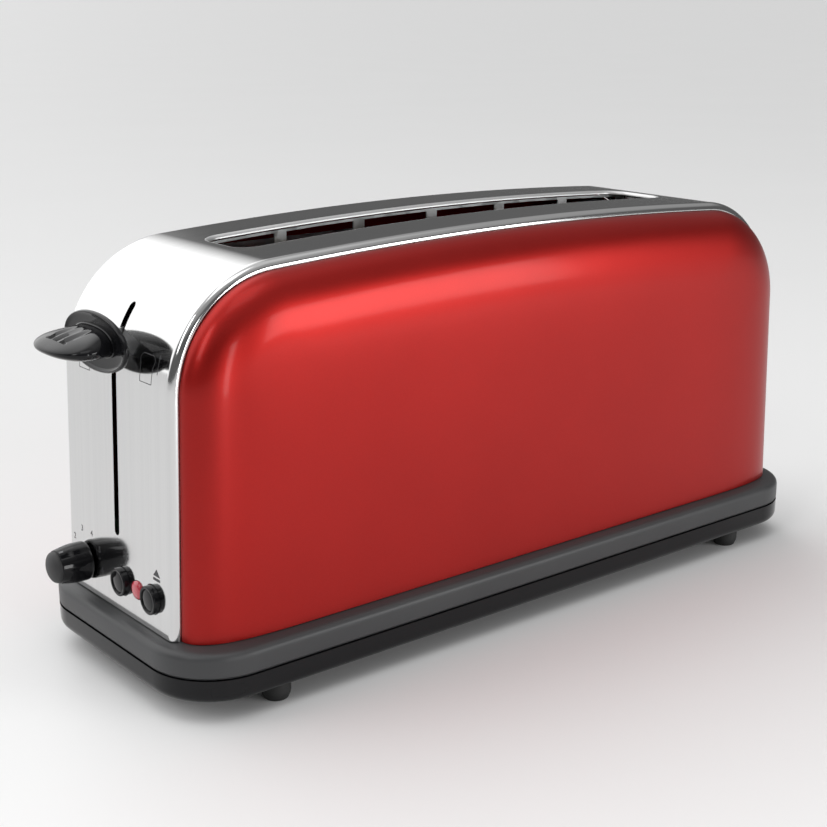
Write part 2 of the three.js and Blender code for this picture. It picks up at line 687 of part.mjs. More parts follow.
// ---- mains inlet at the rear ----
function buildInlet() {
  const faceX = endSurfaceX(glandHeight);
  const gland = rodAlongX(glandRadius, glandY, glandHeight, [faceX + 0.7, faceX + 2.7], 28)
    .add(rodAlongX(glandNeck, glandY, glandHeight, [faceX - 9, faceX + 1], 28))
    .subtract(rodAlongX(glandBore, glandY, glandHeight, [faceX - 10, faceX + 4], 24));
  add('cord_gland', gland, 'rubber');
  const blockX = endPlateX + plateSheet + 6;
  add('terminal_block', block([blockX, blockX + 14], [glandY - 10, glandY + 10],
    [plateBottom, plateBottom + 12]), 'greyPlastic');
}

buildBaseTray();
buildPlinth();
buildFeet();
buildCrumbTray();
buildWrap();
buildSidePanels();
buildChassisPlates();
buildEndPlate('end_plate_front', frontPlateX, neckTop);
buildEndPlate('end_plate_rear', rearPlateX, rackTop);
buildHeatersAndShields();
buildGuides();
buildRack();
buildSlider();
buildLever();
buildRodAndSpring();
buildLatch();
buildControls();
buildInlet();

export default toaster;
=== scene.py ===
import json
from math import atan, atan2, cos, pi, radians, sin, sqrt

import bmesh
import bpy
from mathutils import Matrix, Vector

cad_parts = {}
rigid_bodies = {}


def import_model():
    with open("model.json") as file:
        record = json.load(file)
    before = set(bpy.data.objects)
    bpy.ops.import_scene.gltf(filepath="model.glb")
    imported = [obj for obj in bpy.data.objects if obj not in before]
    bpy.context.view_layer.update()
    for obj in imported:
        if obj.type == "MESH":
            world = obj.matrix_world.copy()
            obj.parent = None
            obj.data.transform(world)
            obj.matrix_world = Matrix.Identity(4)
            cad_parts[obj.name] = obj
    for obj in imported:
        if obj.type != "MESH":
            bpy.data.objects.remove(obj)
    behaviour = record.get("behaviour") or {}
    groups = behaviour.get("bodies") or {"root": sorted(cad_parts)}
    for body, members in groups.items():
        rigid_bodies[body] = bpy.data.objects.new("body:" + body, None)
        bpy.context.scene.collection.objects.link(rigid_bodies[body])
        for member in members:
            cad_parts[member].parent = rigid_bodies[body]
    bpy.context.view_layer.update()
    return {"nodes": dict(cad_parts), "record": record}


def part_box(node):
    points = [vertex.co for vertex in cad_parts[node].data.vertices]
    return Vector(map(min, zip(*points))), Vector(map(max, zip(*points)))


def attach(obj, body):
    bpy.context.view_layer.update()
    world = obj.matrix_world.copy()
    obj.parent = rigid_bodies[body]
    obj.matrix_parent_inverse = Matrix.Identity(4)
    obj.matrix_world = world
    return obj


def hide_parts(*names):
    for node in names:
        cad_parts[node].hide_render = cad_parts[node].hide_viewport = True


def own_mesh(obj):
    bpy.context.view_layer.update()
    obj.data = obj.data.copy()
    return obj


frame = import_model()
mm = 0.001
print("frame loaded:", len(frame["nodes"]), "nodes")


# a node's output that can be added and multiplied like a number
class Socket:
    def __init__(self, graph, link):
        self.graph, self.link = graph, link

    def maths(self, operation, *values):
        return self.graph.add("ShaderNodeMath", {"operation": operation}, *values)

    def __add__(self, other):
        return self.maths("ADD", self, other)

    def __sub__(self, other):
        return self.maths("SUBTRACT", self, other)

    def __mul__(self, other):
        return self.maths("MULTIPLY", self, other)

    def __lt__(self, other):
        return self.maths("LESS_THAN", self, other)


# one way to add any node: its type, its settings, then the values or links of its sockets
class Graph:
    def __init__(self, tree):
        self.tree = tree

    def put(self, socket, value):
        if isinstance(value, Socket):
            self.tree.links.new(value.link, socket)
        elif value is not None:
            socket.default_value = value

    def node(self, kind, settings=None, *values, **named):
        made = self.tree.nodes.new(kind)
        for key, value in (settings or {}).items():
            if key == "stops":
                fillRamp(made.color_ramp, value)
            else:
                setattr(made, key, value)
        live = [s for s in made.inputs if s.enabled]
        for socket, value in zip(live, values):
            self.put(socket, value)
        for name, value in named.items():
            wanted = name.replace("_", " ")
            self.put(next(s for s in live if s.name == wanted), value)
        return made

    def add(self, kind, settings=None, *values, **named):
        made = self.node(kind, settings, *values, **named)
        return Socket(self, next(s for s in made.outputs if s.enabled))


def fillRamp(ramp, stops):
    while len(ramp.elements) < len(stops):
        ramp.elements.new(0.5)
    for element, (place, shade) in zip(ramp.elements, stops):
        element.position = place
        element.color = (*shade, 1) if isinstance(shade, tuple) else (shade, shade, shade, 1)


# a material whose surface is one Principled shader
class Finish(Graph):
    def __init__(self, name):
        self.material = bpy.data.materials.new(name)
        self.material.use_nodes = True
        super().__init__(self.material.node_tree)
        self.shader = self.tree.nodes["Principled BSDF"]
        self.place = Socket(self, self.node("ShaderNodeTexCoord").outputs["Object"])

    def stretched(self, scale):
        return self.add("ShaderNodeMapping", {}, Vector=self.place, Scale=scale)

    def noise(self, scale, detail=2.0, stretch=None):
        place = self.stretched(stretch) if stretch else self.place
        return self.add("ShaderNodeTexNoise", {}, Vector=place, Scale=scale, Detail=detail)

    def cells(self, scale, feature="F1", stretch=None):
        place = self.stretched(stretch) if stretch else self.place
        made = self.node("ShaderNodeTexVoronoi", {"feature": feature}, Vector=place, Scale=scale)
        return Socket(self, made.outputs["Color" if feature == "F1" else "Distance"])

    def spread(self, factor, low, high):
        return self.add("ShaderNodeMapRange", {}, factor, 0.0, 1.0, low, high)

    def blend(self, factor, first, second):
        made = self.node("ShaderNodeMix", {"data_type": "RGBA"})
        self.put(made.inputs[0], factor)
        self.put(made.inputs[6], first if isinstance(first, Socket) else (*first, 1))
        self.put(made.inputs[7], second if isinstance(second, Socket) else (*second, 1))
        return Socket(self, made.outputs[2])

    def bump(self, height, strength, distance):
        return self.add("ShaderNodeBump", {}, Strength=strength, Distance=distance, Height=height)

    def finish(self, **values):
        for name, value in values.items():
            wanted = name.replace("_", " ")
            if isinstance(value, tuple):
                value = (*value, 1)
            self.put(self.shader.inputs[wanted], value)
        return self.material


# a Geometry Nodes group with named inputs, run once and kept as a plain mesh
class Shapes(Graph):
    def __init__(self, name, sizes):
        self.tree = bpy.data.node_groups.new(name, "GeometryNodeTree")
        self.name, self.sizes, self.ids = name, sizes, {}
        face = self.tree.interface
        face.new_socket("Geometry", in_out="OUTPUT", socket_type="NodeSocketGeometry")
        kinds = {float: "NodeSocketFloat", int: "NodeSocketInt", bpy.types.Object: "NodeSocketObject"}
        for key, value in sizes.items():
            kind = next(k for t, k in kinds.items() if isinstance(value, t))
            self.ids[key] = face.new_socket(key, in_out="INPUT", socket_type=kind).identifier
        self.start = self.tree.nodes.new("NodeGroupInput")
        self.end = self.tree.nodes.new("NodeGroupOutput")

    def size(self, name):
        return Socket(self, self.start.outputs[name])

    def vector(self, x=0.0, y=0.0, z=0.0):
        return self.add("ShaderNodeCombineXYZ", {}, x, y, z)

    def given(self, name):                       # the mesh of an object handed in as an input
        info = self.node("GeometryNodeObjectInfo")
        self.put(info.inputs["Object"], self.size(name))
        return Socket(self, info.outputs["Geometry"])

    def moved(self, geometry, place):
        return self.add("GeometryNodeTransform", {}, Geometry=geometry, Translation=place)

    def box(self, x, y, z, place):
        return self.moved(self.add("GeometryNodeMeshCube", {}, Size=self.vector(x, y, z)), place)

    def roundedPath(self, length, width, radius, count=12):
        path = self.add("GeometryNodeCurvePrimitiveQuadrilateral", {}, Width=length, Height=width)
        path = self.add("GeometryNodeFilletCurve", {"mode": "POLY"}, Curve=path, Count=count, Radius=radius)
        return self.add("GeometryNodeSetCurveNormal", {"mode": "Z_UP"}, Curve=path)

    def swept(self, path, section):
        return self.add("GeometryNodeCurveToMesh", {}, Curve=path, Profile_Curve=section, Fill_Caps=True)

    def atPoints(self, points, piece, turn=None):
        made = self.add("GeometryNodeInstanceOnPoints", {}, Points=points, Instance=piece, Rotation=turn)
        return self.add("GeometryNodeRealizeInstances", {}, Geometry=made)

    def fused(self, *parts):
        made = self.node("GeometryNodeMeshBoolean", {"operation": "UNION", "solver": "EXACT"})
        for part in parts:
            self.tree.links.new(part.link, made.inputs["Mesh 2"])
        return Socket(self, made.outputs[0])

    def cut(self, part, *cutters):
        made = self.node("GeometryNodeMeshBoolean", {"operation": "DIFFERENCE", "solver": "EXACT"})
        self.tree.links.new(part.link, made.inputs["Mesh 1"])
        for cutter in cutters:
            self.tree.links.new(cutter.link, made.inputs["Mesh 2"])
        return Socket(self, made.outputs[0])

    def made(self, geometry, material, smooth=40):
        real = self.add("GeometryNodeRealizeInstances", {}, Geometry=geometry)
        coated = self.add("GeometryNodeSetMaterial", {}, Geometry=real, Material=material)
        self.tree.links.new(coated.link, self.end.inputs[0])
        holder = placed(self.name, bpy.data.meshes.new(self.name))
        modifier = holder.modifiers.new(self.name, "NODES")
        modifier.node_group = self.tree
        for key, value in self.sizes.items():
            modifier[self.ids[key]] = value
        mesh = evaluatedMesh(holder)
        holder.modifiers.clear()
        holder.data = mesh
        mesh.name = self.name
        tidyMesh(mesh, smooth)
        for value in self.sizes.values():
            if isinstance(value, bpy.types.Object):
                bpy.data.objects.remove(value)
        print("geometry nodes:", self.name, len(mesh.polygons), "faces")
        return holder


def placed(name, data):
    piece = bpy.data.objects.new(name, data)
    bpy.context.collection.objects.link(piece)
    return piece


def evaluatedMesh(piece):
    graph = bpy.context.evaluated_depsgraph_get()
    return bpy.data.meshes.new_from_object(piece.evaluated_get(graph), depsgraph=graph)


def tidyMesh(mesh, smooth=40):
    work = bmesh.new()
    work.from_mesh(mesh)
    bmesh.ops.remove_doubles(work, verts=work.verts, dist=1e-6)
    bmesh.ops.dissolve_degenerate(work, edges=work.edges, dist=1e-7)
    bmesh.ops.recalc_face_normals(work, faces=work.faces)
    for face in work.faces:
        face.smooth = True
    for edge in work.edges:
        if len(edge.link_faces) == 2:
            edge.smooth = edge.calc_face_angle(0) < radians(smooth)
    work.to_mesh(mesh)
    work.free()


def meshPiece(name, points, faces, material=None, smooth=40):
    mesh = bpy.data.meshes.new(name)
    mesh.from_pydata([tuple(p) for p in points], [], faces)
    tidyMesh(mesh, smooth)
    piece = placed(name, mesh)
    if material:
        mesh.materials.append(material)
    return piece


def sectionOf(name, points):                     # a closed outline that a sweep or a turn follows
    mesh = bpy.data.meshes.new(name)
    count = len(points)
    mesh.from_pydata([(x, y, 0) for x, y in points], [(i, (i + 1) % count) for i in range(count)], [])
    return placed(name, mesh)


def gridFaces(rows, columns, first=0, closeColumns=False, closeRows=False):
    faces = []
    for i in range(rows if closeRows else rows - 1):
        for j in range(columns if closeColumns else columns - 1):
            nextRow, nextColumn = (i + 1) % rows, (j + 1) % columns
            faces.append((first + i * columns + j, first + i * columns + nextColumn,
                          first + nextRow * columns + nextColumn, first + nextRow * columns + j))
    return faces


def shellOf(outer, inner):                       # a closed skin between two grids of the same size
    rows, columns = len(outer), len(outer[0])
    points = [p for row in outer for p in row] + [p for row in inner for p in row]
    offset = rows * columns
    faces = gridFaces(rows, columns)
    faces += [tuple(v + offset for v in reversed(f)) for f in gridFaces(rows, columns)]
    border = [(0, j) for j in range(columns)] + [(i, columns - 1) for i in range(1, rows)]
    border += [(rows - 1, j) for j in range(columns - 2, -1, -1)] + [(i, 0) for i in range(rows - 2, 0, -1)]
    ring = [i * columns + j for i, j in border]
    for a, b in zip(ring, ring[1:] + ring[:1]):
        faces.append((b, a, a + offset, b + offset))
    return points, faces


def lofted(rings, closed=False):                 # rings of points, capped or joined end to end
    count = len(rings[0])
    points = [p for ring in rings for p in ring]
    faces = gridFaces(len(rings), count, closeColumns=True, closeRows=closed)
    if not closed:
        faces.append(tuple(reversed(range(count))))
        faces.append(tuple(range((len(rings) - 1) * count, len(rings) * count)))
    return points, faces


def turned(profile, sides, ripple=None):         # a (radius, height) profile turned about local Z
    rings = []
    for radius, height in profile:
        ring = []
        for j in range(sides):
            angle = 2 * pi * j / sides
            r = radius * (1 + (ripple(angle, height) if ripple else 0))
            ring.append(Vector((r * cos(angle), r * sin(angle), height)))
        rings.append(ring)
    return lofted(rings)


def outwardsFrom(faceX, y, z, points, lean=0.0):
    # local Z becomes -X, leaning with the end panel; local X becomes -Y and local Y becomes up
    turn = Matrix(((0, 0, -1), (-1, 0, 0), (0, 1, 0))).to_4x4()
    place = Matrix.Translation((faceX, y, z)) @ Matrix.Rotation(lean, 4, "Y") @ turn
    return [place @ Vector(p) for p in points]


def rounded(points, radius, steps=5):            # a profile with each inner corner rounded off
    made = [points[0]]
    for before, corner, after in zip(points, points[1:], points[2:]):
        corner = Vector(corner)
        back, on = Vector(before) - corner, Vector(after) - corner
        reach = min(radius, back.length * 0.45, on.length * 0.45)
        a, b = corner + back.normalized() * reach, corner + on.normalized() * reach
        for i in range(steps + 1):
            t = i / steps
            made.append(tuple(a * (1 - t) ** 2 + corner * 2 * t * (1 - t) + b * t * t))
    return made + [points[-1]]


def roundedRect(halfLength, halfWidth, radius, cornerSteps=10, longSteps=1, shortSteps=1):
    made = []
    for sx, sy, first, sideSteps in ((1, -1, -90, shortSteps), (1, 1, 0, longSteps),
                                     (-1, 1, 90, shortSteps), (-1, -1, 180, longSteps)):
        cx, cy = sx * (halfLength - radius), sy * (halfWidth - radius)
        for i in range(cornerSteps + 1):
            angle = radians(first + 90 * i / cornerSteps)
            made.append((Vector((cx + radius * cos(angle), cy + radius * sin(angle))),
                         Vector((cos(angle), sin(angle)))))
        normal = made[-1][1]
        start = made[-1][0]
        along = Vector((-normal.y, normal.x))
        run = 2 * ((halfLength if abs(normal.y) > 0.5 else halfWidth) - radius)
        for i in range(1, sideSteps):
            made.append((start + along * run * i / sideSteps, normal))
    return made


def settle(piece, body, slot, *nodes):
    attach(piece, body)
    if nodes:
        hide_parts(*nodes)
    return piece


def middle(node):
    low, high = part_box(node)
    return (low + high) / 2


def grained(name, grain, tones, rough, relief=None, **more):
    # tone, roughness and relief follow one grain, given by its scale, detail and stretch
    made = Finish(name)
    texture = made.noise(*grain)
    if relief:
        more["Normal"] = made.bump(texture, *relief)
    tone = made.blend(texture, *tones)
    return made.finish(Base_Color=tone, Roughness=made.spread(texture, *rough), **more)


def polishedSteel():
    made = Finish("polishedSteel")
    grain = made.noise(1.0, 3, stretch=(3, 900, 3))
    wide = made.noise(1.0, 2, stretch=(1.2, 160, 1.2))
    smear = made.noise(9, 4)
    streak = grain * 0.6 + wide * 0.4
    tone = made.blend(streak, (0.58, 0.58, 0.585), (0.72, 0.72, 0.715))
    rough = made.spread(streak * 0.7 + smear * 0.3, 0.05, 0.15)
    return made.finish(Base_Color=tone, Metallic=1.0, Roughness=rough,
                       Normal=made.bump(streak, 0.1, 0.00005))


def redLacquer():
    made = Finish("redLacquer")
    flake = made.add("ShaderNodeSeparateColor", {}, made.cells(4200))
    depth = made.noise(14, 3)
    metal = flake * 0.35 + depth * 0.65
    tone = made.blend(metal, (0.3, 0.006, 0.004), (0.4, 0.011, 0.008))
    rough = made.spread(made.noise(60, 3), 0.34, 0.4)
    orangePeel = made.noise(420, 1)
    return made.finish(Base_Color=tone, Metallic=0.8, Roughness=rough, Coat_Weight=0.18,
                       Coat_Roughness=0.12, Normal=made.bump(orangePeel, 0.03, 0.00004))


def satinMoulding():
    made = Finish("satinMoulding")
    spark = made.noise(2600, 2)
    cloud = made.noise(22, 3)
    tone = made.blend(cloud, (0.04, 0.041, 0.043), (0.055, 0.056, 0.058))
    return made.finish(Base_Color=tone, Roughness=made.spread(spark, 0.34, 0.5), Specular_IOR_Level=0.4,
                       Normal=made.bump(spark, 0.25, 0.00004))


def glossMoulding():
    made = Finish("glossMoulding")
    smear = made.noise(35, 4)
    tone = made.blend(smear, (0.004, 0.004, 0.005), (0.009, 0.009, 0.010))
    wave = made.noise(90, 1)
    return made.finish(Base_Color=tone, Roughness=made.spread(smear, 0.04, 0.11), Specular_IOR_Level=0.2,
                       Coat_Weight=0.08, Coat_Roughness=0.04, Normal=made.bump(wave, 0.04, 0.00005))


def zincSheet():
    made = Finish("zincSheet")
    spangle = made.cells(170)
    grain = made.noise(1.0, 3, stretch=(4, 700, 700))
    value = made.add("ShaderNodeSeparateColor", {}, spangle)
    tone = made.blend(value * 0.5 + grain * 0.5, (0.38, 0.385, 0.39), (0.56, 0.565, 0.57))
    return made.finish(Base_Color=tone, Metallic=1.0, Roughness=made.spread(value, 0.28, 0.48),
                       Normal=made.bump(grain, 0.15, 0.00005))


def micaSheet():
    made = Finish("micaSheet")
    flake = made.add("ShaderNodeSeparateColor", {}, made.cells(260, stretch=(1, 1, 1.8)))
    tone = made.blend(flake, (0.34, 0.27, 0.18), (0.56, 0.48, 0.36))
    return made.finish(Base_Color=tone, Roughness=made.spread(flake, 0.35, 0.7),
                       Normal=made.bump(flake, 0.2, 0.00008))


def circuitBoard():
    made = Finish("circuitBoard")
    track = made.cells(160, "DISTANCE_TO_EDGE") < 0.06
    weave = made.noise(900, 2)
    ground = made.blend(weave, (0.012, 0.075, 0.03), (0.02, 0.11, 0.045))
    tone = made.blend(track, ground, (0.04, 0.2, 0.07))
    return made.finish(Base_Color=tone, Roughness=made.spread(weave, 0.3, 0.5),
                       Normal=made.bump(track, 0.2, 0.00005))


def redLens():
    made = Finish("redLens")
    depth = made.noise(500, 2)
    tone = made.blend(depth, (0.36, 0.012, 0.03), (0.5, 0.03, 0.05))
    return made.finish(Base_Color=tone, Roughness=made.spread(depth, 0.1, 0.2), Coat_Weight=0.8,
                       Coat_Roughness=0.04, Emission_Color=tone, Emission_Strength=0.05)


steel, lacquer, satin, gloss = polishedSteel(), redLacquer(), satinMoulding(), glossMoulding()
soft = grained("softTouch", (3200, 2), ((0.018, 0.018, 0.019), (0.03, 0.03, 0.031)),
               (0.45, 0.62), (0.3, 0.00003))
zinc, mica = zincSheet(), micaSheet()
ribbon = grained("heatingRibbon", (120, 4), ((0.16, 0.13, 0.11), (0.34, 0.3, 0.27)),
                 (0.35, 0.6), Metallic=0.9)
boardGreen = circuitBoard()
copper = grained("copperWinding", (1.0, 2, (60, 60, 1500)), ((0.3, 0.09, 0.03), (0.55, 0.22, 0.08)),
                 (0.22, 0.4), Metallic=0.85)
grey = grained("greyMoulding", (1800, 2), ((0.15, 0.15, 0.155), (0.2, 0.2, 0.205)),
               (0.45, 0.6), (0.2, 0.00004))
rubber = grained("blackRubber", (1500, 3), ((0.008, 0.008, 0.008), (0.02, 0.02, 0.02)),
                 (0.55, 0.8), (0.3, 0.00005))
lensRed = redLens()
ink = grained("printInk", (900, 3), ((0.02, 0.02, 0.022), (0.06, 0.06, 0.064)), (0.4, 0.6))
flange = grained("rolledFlange", (1.0, 3, (3, 900, 900)), ((0.6, 0.6, 0.605), (0.74, 0.74, 0.735)),
                 (0.32, 0.46), Metallic=0.75)
print("finishes:", len(bpy.data.materials))

# the side outline of the body, shared by the wrap and the panels
bodyShape = {
    "endLean": 0.038,            # of an end, sideways per height
    "shoulder": 57 * mm,
    "crown": 2319 * mm,          # radius of the slightly domed top
    "softCorner": 30 * mm,       # least corner radius far inside the panel
    "sideSteps": 14, "shoulderSteps": 28, "crownSteps": 40,
}
wrapLow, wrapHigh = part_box("steel_wrap")
middleX = (wrapLow.x + wrapHigh.x) / 2
halfLength = (wrapHigh.x - wrapLow.x) / 2
crownTop, floorZ, halfWidth = wrapHigh.z, wrapLow.z, wrapHigh.y
lean = bodyShape["endLean"]
faceLean = atan(lean)
upEnd, intoEnd = Vector((lean, 1)).normalized(), Vector((1, -lean)).normalized()
crownCentre = Vector((0, crownTop - bodyShape["crown"]))
foot = Vector((-halfLength, floorZ))


def shoulderCentre(inset, radius):
    start = foot + intoEnd * (inset + radius) - crownCentre
    reach = bodyShape["crown"] - inset - radius
    b = start.dot(upEnd)
    return crownCentre + start + upEnd * (-b + sqrt(b * b - start.length_squared + reach * reach))


def outline(inset):
    # points (x, z) round the side outline, moved inwards by inset, from one foot of the body to the other
    radius = max(bodyShape["shoulder"] - inset, bodyShape["softCorner"])
    centre = shoulderCentre(inset, radius)
    endAngle = pi - faceLean
    crownAngle = Vector((1, 0)).angle(centre - crownCentre)
    low = foot + intoEnd * inset
    low += upEnd * ((floorZ - low.y) / upEnd.y)
    topOfEnd = centre - intoEnd * radius
    left = [low.lerp(topOfEnd, i / bodyShape["sideSteps"]) for i in range(bodyShape["sideSteps"])]
    for i in range(bodyShape["shoulderSteps"]):
        angle = endAngle + (crownAngle - endAngle) * i / bodyShape["shoulderSteps"]
        left.append(centre + Vector((cos(angle), sin(angle))) * radius)
    half = bodyShape["crownSteps"] // 2
    for i in range(half + 1):
        angle = crownAngle + (pi / 2 - crownAngle) * i / half
        left.append(crownCentre + Vector((cos(angle), sin(angle))) * (bodyShape["crown"] - inset))
    right = [Vector((-p.x, p.y)) for p in reversed(left[:-1])]
    return [Vector((p.x + middleX, p.y)) for p in left + right]


def band(y, inset):
    return [Vector((p.x, y, p.y)) for p in outline(inset)]


def endX(z):                                     # of the control end's face
    return wrapLow.x + lean * (z - floorZ)


def crownZ(x):
    crown = bodyShape["crown"]
    return crownTop - crown + sqrt(crown * crown - (x - middleX) ** 2)


wrap = {
    "lip": 4 * mm, "sheet": 0.9 * mm, "lipSteps": 7,
    "mouthHalfLength": 140.5 * mm, "mouthHalfWidth": 18.5 * mm, "mouthCorner": 10 * mm,
    "roll": 1.8 * mm, "rimDepth": 1.9 * mm, "rimGap": 0.03 * mm,
    "leverSlot": 4.4 * mm, "leverSpare": 5.3 * mm,
    "buttonHole": 7.15 * mm, "lensHole": 4.7 * mm, "spindleHole": 4.5 * mm, "glandHole": 6.1 * mm,
    "reachOut": 10 * mm, "reachIn": 20 * mm, "endReach": 30 * mm,    # of the cutters past the sheet
    "flatEnough": 0.85,          # faces turned no further from the ideal skin take its shading
}


def skinNormal(point):
    # outward normal of the wrap's outer skin beside a point on it
    mirror = 1 if point.x < middleX else -1
    flat = Vector((-abs(point.x - middleX), point.z))
    radius = bodyShape["shoulder"]
    centre = shoulderCentre(0, radius)
    out = flat - centre
    toCrown = centre - crownCentre
    if out.dot(upEnd) < 0:
        side = -intoEnd
    elif atan2(out.y, out.x) > atan2(toCrown.y, toCrown.x):
        side = out.normalized()
    else:
        side = (flat - crownCentre).normalized()
    sway = max(0.0, abs(point.y) - (halfWidth - wrap["lip"])) / wrap["lip"]
    across = min(1.0, sway)
    keep = sqrt(1 - across * across)
    return Vector((side.x * mirror * keep, across if point.y > 0 else -across, side.y * keep)).normalized()


def barAlongX(radius, y, z, x0, x1, sides=48, stretch=0.0):
    # a round cutter; stretch pulls its upper half up to make a slot
    rings = []
    for x in (x0, x1):
        ring = []
        for j in range(sides):
            angle = 2 * pi * (j + 0.5) / sides
            rise = stretch if sin(angle) > 0 else 0.0
            ring.append(Vector((x, y + radius * cos(angle), z + radius * sin(angle) + rise)))
        rings.append(ring)
    return lofted(rings)


def slideRange(name):
    return next(j for j in frame["record"]["behaviour"]["joints"] if j["name"] == name)["range_m"]


def wrapCutter():
    size, points, faces = wrap, [], []
    knob, travel = middle("lever_knob"), slideRange("carriage_slide")
    out, near = wrapLow.x - size["reachOut"], wrapLow.x + size["endReach"]
    half = size["leverSlot"] / 2
    bottom = knob.z + travel[0] - size["leverSpare"] + half
    top = knob.z + travel[1] + size["leverSpare"] - half
    lamp, gland, spindle = middle("indicator_lens"), middle("cord_gland"), middle("browning_spindle")
    parts = [barAlongX(half, 0, bottom, out, near, 24, top - bottom)]
    for node in ("frozen_button", "cancel_button"):
        button = middle(node)
        parts.append(barAlongX(size["buttonHole"], button.y, button.z, out, near))
    parts.append(barAlongX(size["lensHole"], lamp.y, lamp.z, out, near))
    parts.append(barAlongX(size["spindleHole"], spindle.y, spindle.z, out, near))
    parts.append(barAlongX(size["glandHole"], gland.y, gland.z,
                           wrapHigh.x - size["endReach"], wrapHigh.x + size["reachOut"]))
    spare = size["roll"] + size["rimGap"]
    mouth = roundedRect(size["mouthHalfLength"] + spare, size["mouthHalfWidth"] + spare,
                        size["mouthCorner"] + spare, 12)
    parts.append(lofted([[Vector((middleX + p.x, p.y, z)) for p, _ in mouth]
                         for z in (crownTop - size["reachIn"], crownTop + size["reachOut"])]))
    for morePoints, moreFaces in parts:
        faces += [tuple(v + len(points) for v in face) for face in moreFaces]
        points += morePoints
    return meshPiece("wrapCutter", points, faces)


def steelWrap():
    size, outer, inner = wrap, [], []
    steps, tight = size["lipSteps"], size["lip"] - size["sheet"]
    for side in (-1, 1):
        for i in range(steps + 1):
            angle = pi / 2 * (steps - i if side < 0 else i) / steps
            base = halfWidth - size["lip"]
            outer.append(band(side * (base + size["lip"] * sin(angle)), size["lip"] * (1 - cos(angle))))
            inner.append(band(side * (base + tight * sin(angle)), size["sheet"] + tight * (1 - cos(angle))))
    piece = meshPiece("steel_wrap_skin", *shellOf(outer, inner), steel)
    cutter = wrapCutter()
    cut = piece.modifiers.new("cut", "BOOLEAN")
    cut.operation, cut.solver, cut.object = "DIFFERENCE", "EXACT", cutter
    mesh = evaluatedMesh(piece)
    piece.modifiers.clear()
    piece.data = mesh
    bpy.data.objects.remove(cutter)
    tidyMesh(mesh, 30)
    normals = [None] * len(mesh.loops)
    for face in mesh.polygons:
        facing = face.normal.dot(skinNormal(face.center))
        for k in face.loop_indices:
            if abs(facing) > size["flatEnough"]:
                across = skinNormal(mesh.vertices[mesh.loops[k].vertex_index].co)
                normals[k] = across if facing > 0 else -across
            else:
                normals[k] = face.normal.copy()
    mesh.normals_split_custom_set(normals)
    settle(piece, "casing", "polished_steel", "steel_wrap")


def slotRim():
    # the wrap's sheet rolled down into the toast slot
    size = wrap
    roll, tight, steps = size["roll"], size["roll"] - size["sheet"], 8
    turns = [pi / 2 * i / steps for i in range(steps + 1)]
    section = [(roll - roll * sin(t), roll - roll * cos(t)) for t in turns] + [(0, size["rimDepth"])]
    section += [(size["sheet"], size["rimDepth"])]
    section += [(roll - tight * sin(t), roll - tight * cos(t)) for t in reversed(turns)]
    rings = []
    mouth = roundedRect(size["mouthHalfLength"], size["mouthHalfWidth"], size["mouthCorner"], 12, 40, 3)
    for p, n in mouth:
        ring = []
        for out, drop in section:
            x = middleX + p.x + n.x * out
            ring.append(Vector((x, p.y + n.y * out, crownZ(x) - drop)))
        rings.append(ring)
    piece = meshPiece("slot_rim", *lofted(rings, closed=True), flange)
    settle(piece, "casing", "polished_steel")


panel = {
    "reach": 112 * mm,           # how far in from the edge the surface still rises
    "fullness": 7.2,             # higher rises faster at the edge
    "seam": 4.2 * mm,            # edge of the panel in from the wrap's outline
    "sheet": 0.9 * mm,
    "rows": 34, "crowding": 2.1,
}


def sidePanel(node):
    size = panel
    low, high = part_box(node)
    side = 1 if high.y > 0 else -1
    start, bulge = min(abs(low.y), abs(high.y)), high.y - low.y
    outer, inner = [], []
    for i in range(size["rows"] + 1):
        w = (i / size["rows"]) ** size["crowding"]
        rise = sqrt(1 - (1 - w) ** size["fullness"])
        inset = size["seam"] + size["reach"] * w
        outer.append(band(side * (start + bulge * rise), inset))
        innerBulge = (bulge - size["sheet"]) * rise
        inner.append(band(side * (start + innerBulge), inset + size["sheet"] * (1 - rise)))
    for rows in (outer, inner):
        rows.append([Vector((p.x, p.y, floorZ)) for p in rows[-1]])
    piece = meshPiece(node + "_skin", *shellOf(outer, inner), lacquer)
    settle(piece, "casing", "red_lacquer", node)


steelWrap()
slotRim()
for node in ("side_panel_left", "side_panel_right"):
    sidePanel(node)
print("outer shells done")

trayLow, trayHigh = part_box("base_tray")
base = {
    "cornerRadius": 33 * mm, "cornerSteps": 14,
    "shadowGap": 0.6 * mm,       # groove between tray and plinth
    "ledge": 7.2 * mm, "ledgeSlope": 1.5 * mm, "edgeRound": 3.6 * mm, "wall": 3 * mm,
    "ringWidth": 14 * mm, "deck": 2.6 * mm, "sunk": 1.7 * mm,
    "window": 72 * mm, "windowLength": 290 * mm,
    "trayRound": 4.6 * mm, "trayWall": 2.5 * mm, "trayFloor": 2 * mm,
    "ventPitch": 24 * mm, "ventLength": 16 * mm, "ventWidth": 3 * mm, "ventY": 50 * mm, "vents": 10,
    "mouthWidth": 78.8 * mm, "mouthTop": 0.4 * mm, "screwHole": 2 * mm,
    "overlap": 2 * mm,           # of the flat middle into the swept ring
    "deckDrop": 0.3 * mm, "lowEdge": 0.5 * mm,
}
deckTop = floorZ - base["deckDrop"]
footSpacing = middle("foot_rear_left") - middle("foot_front_right")


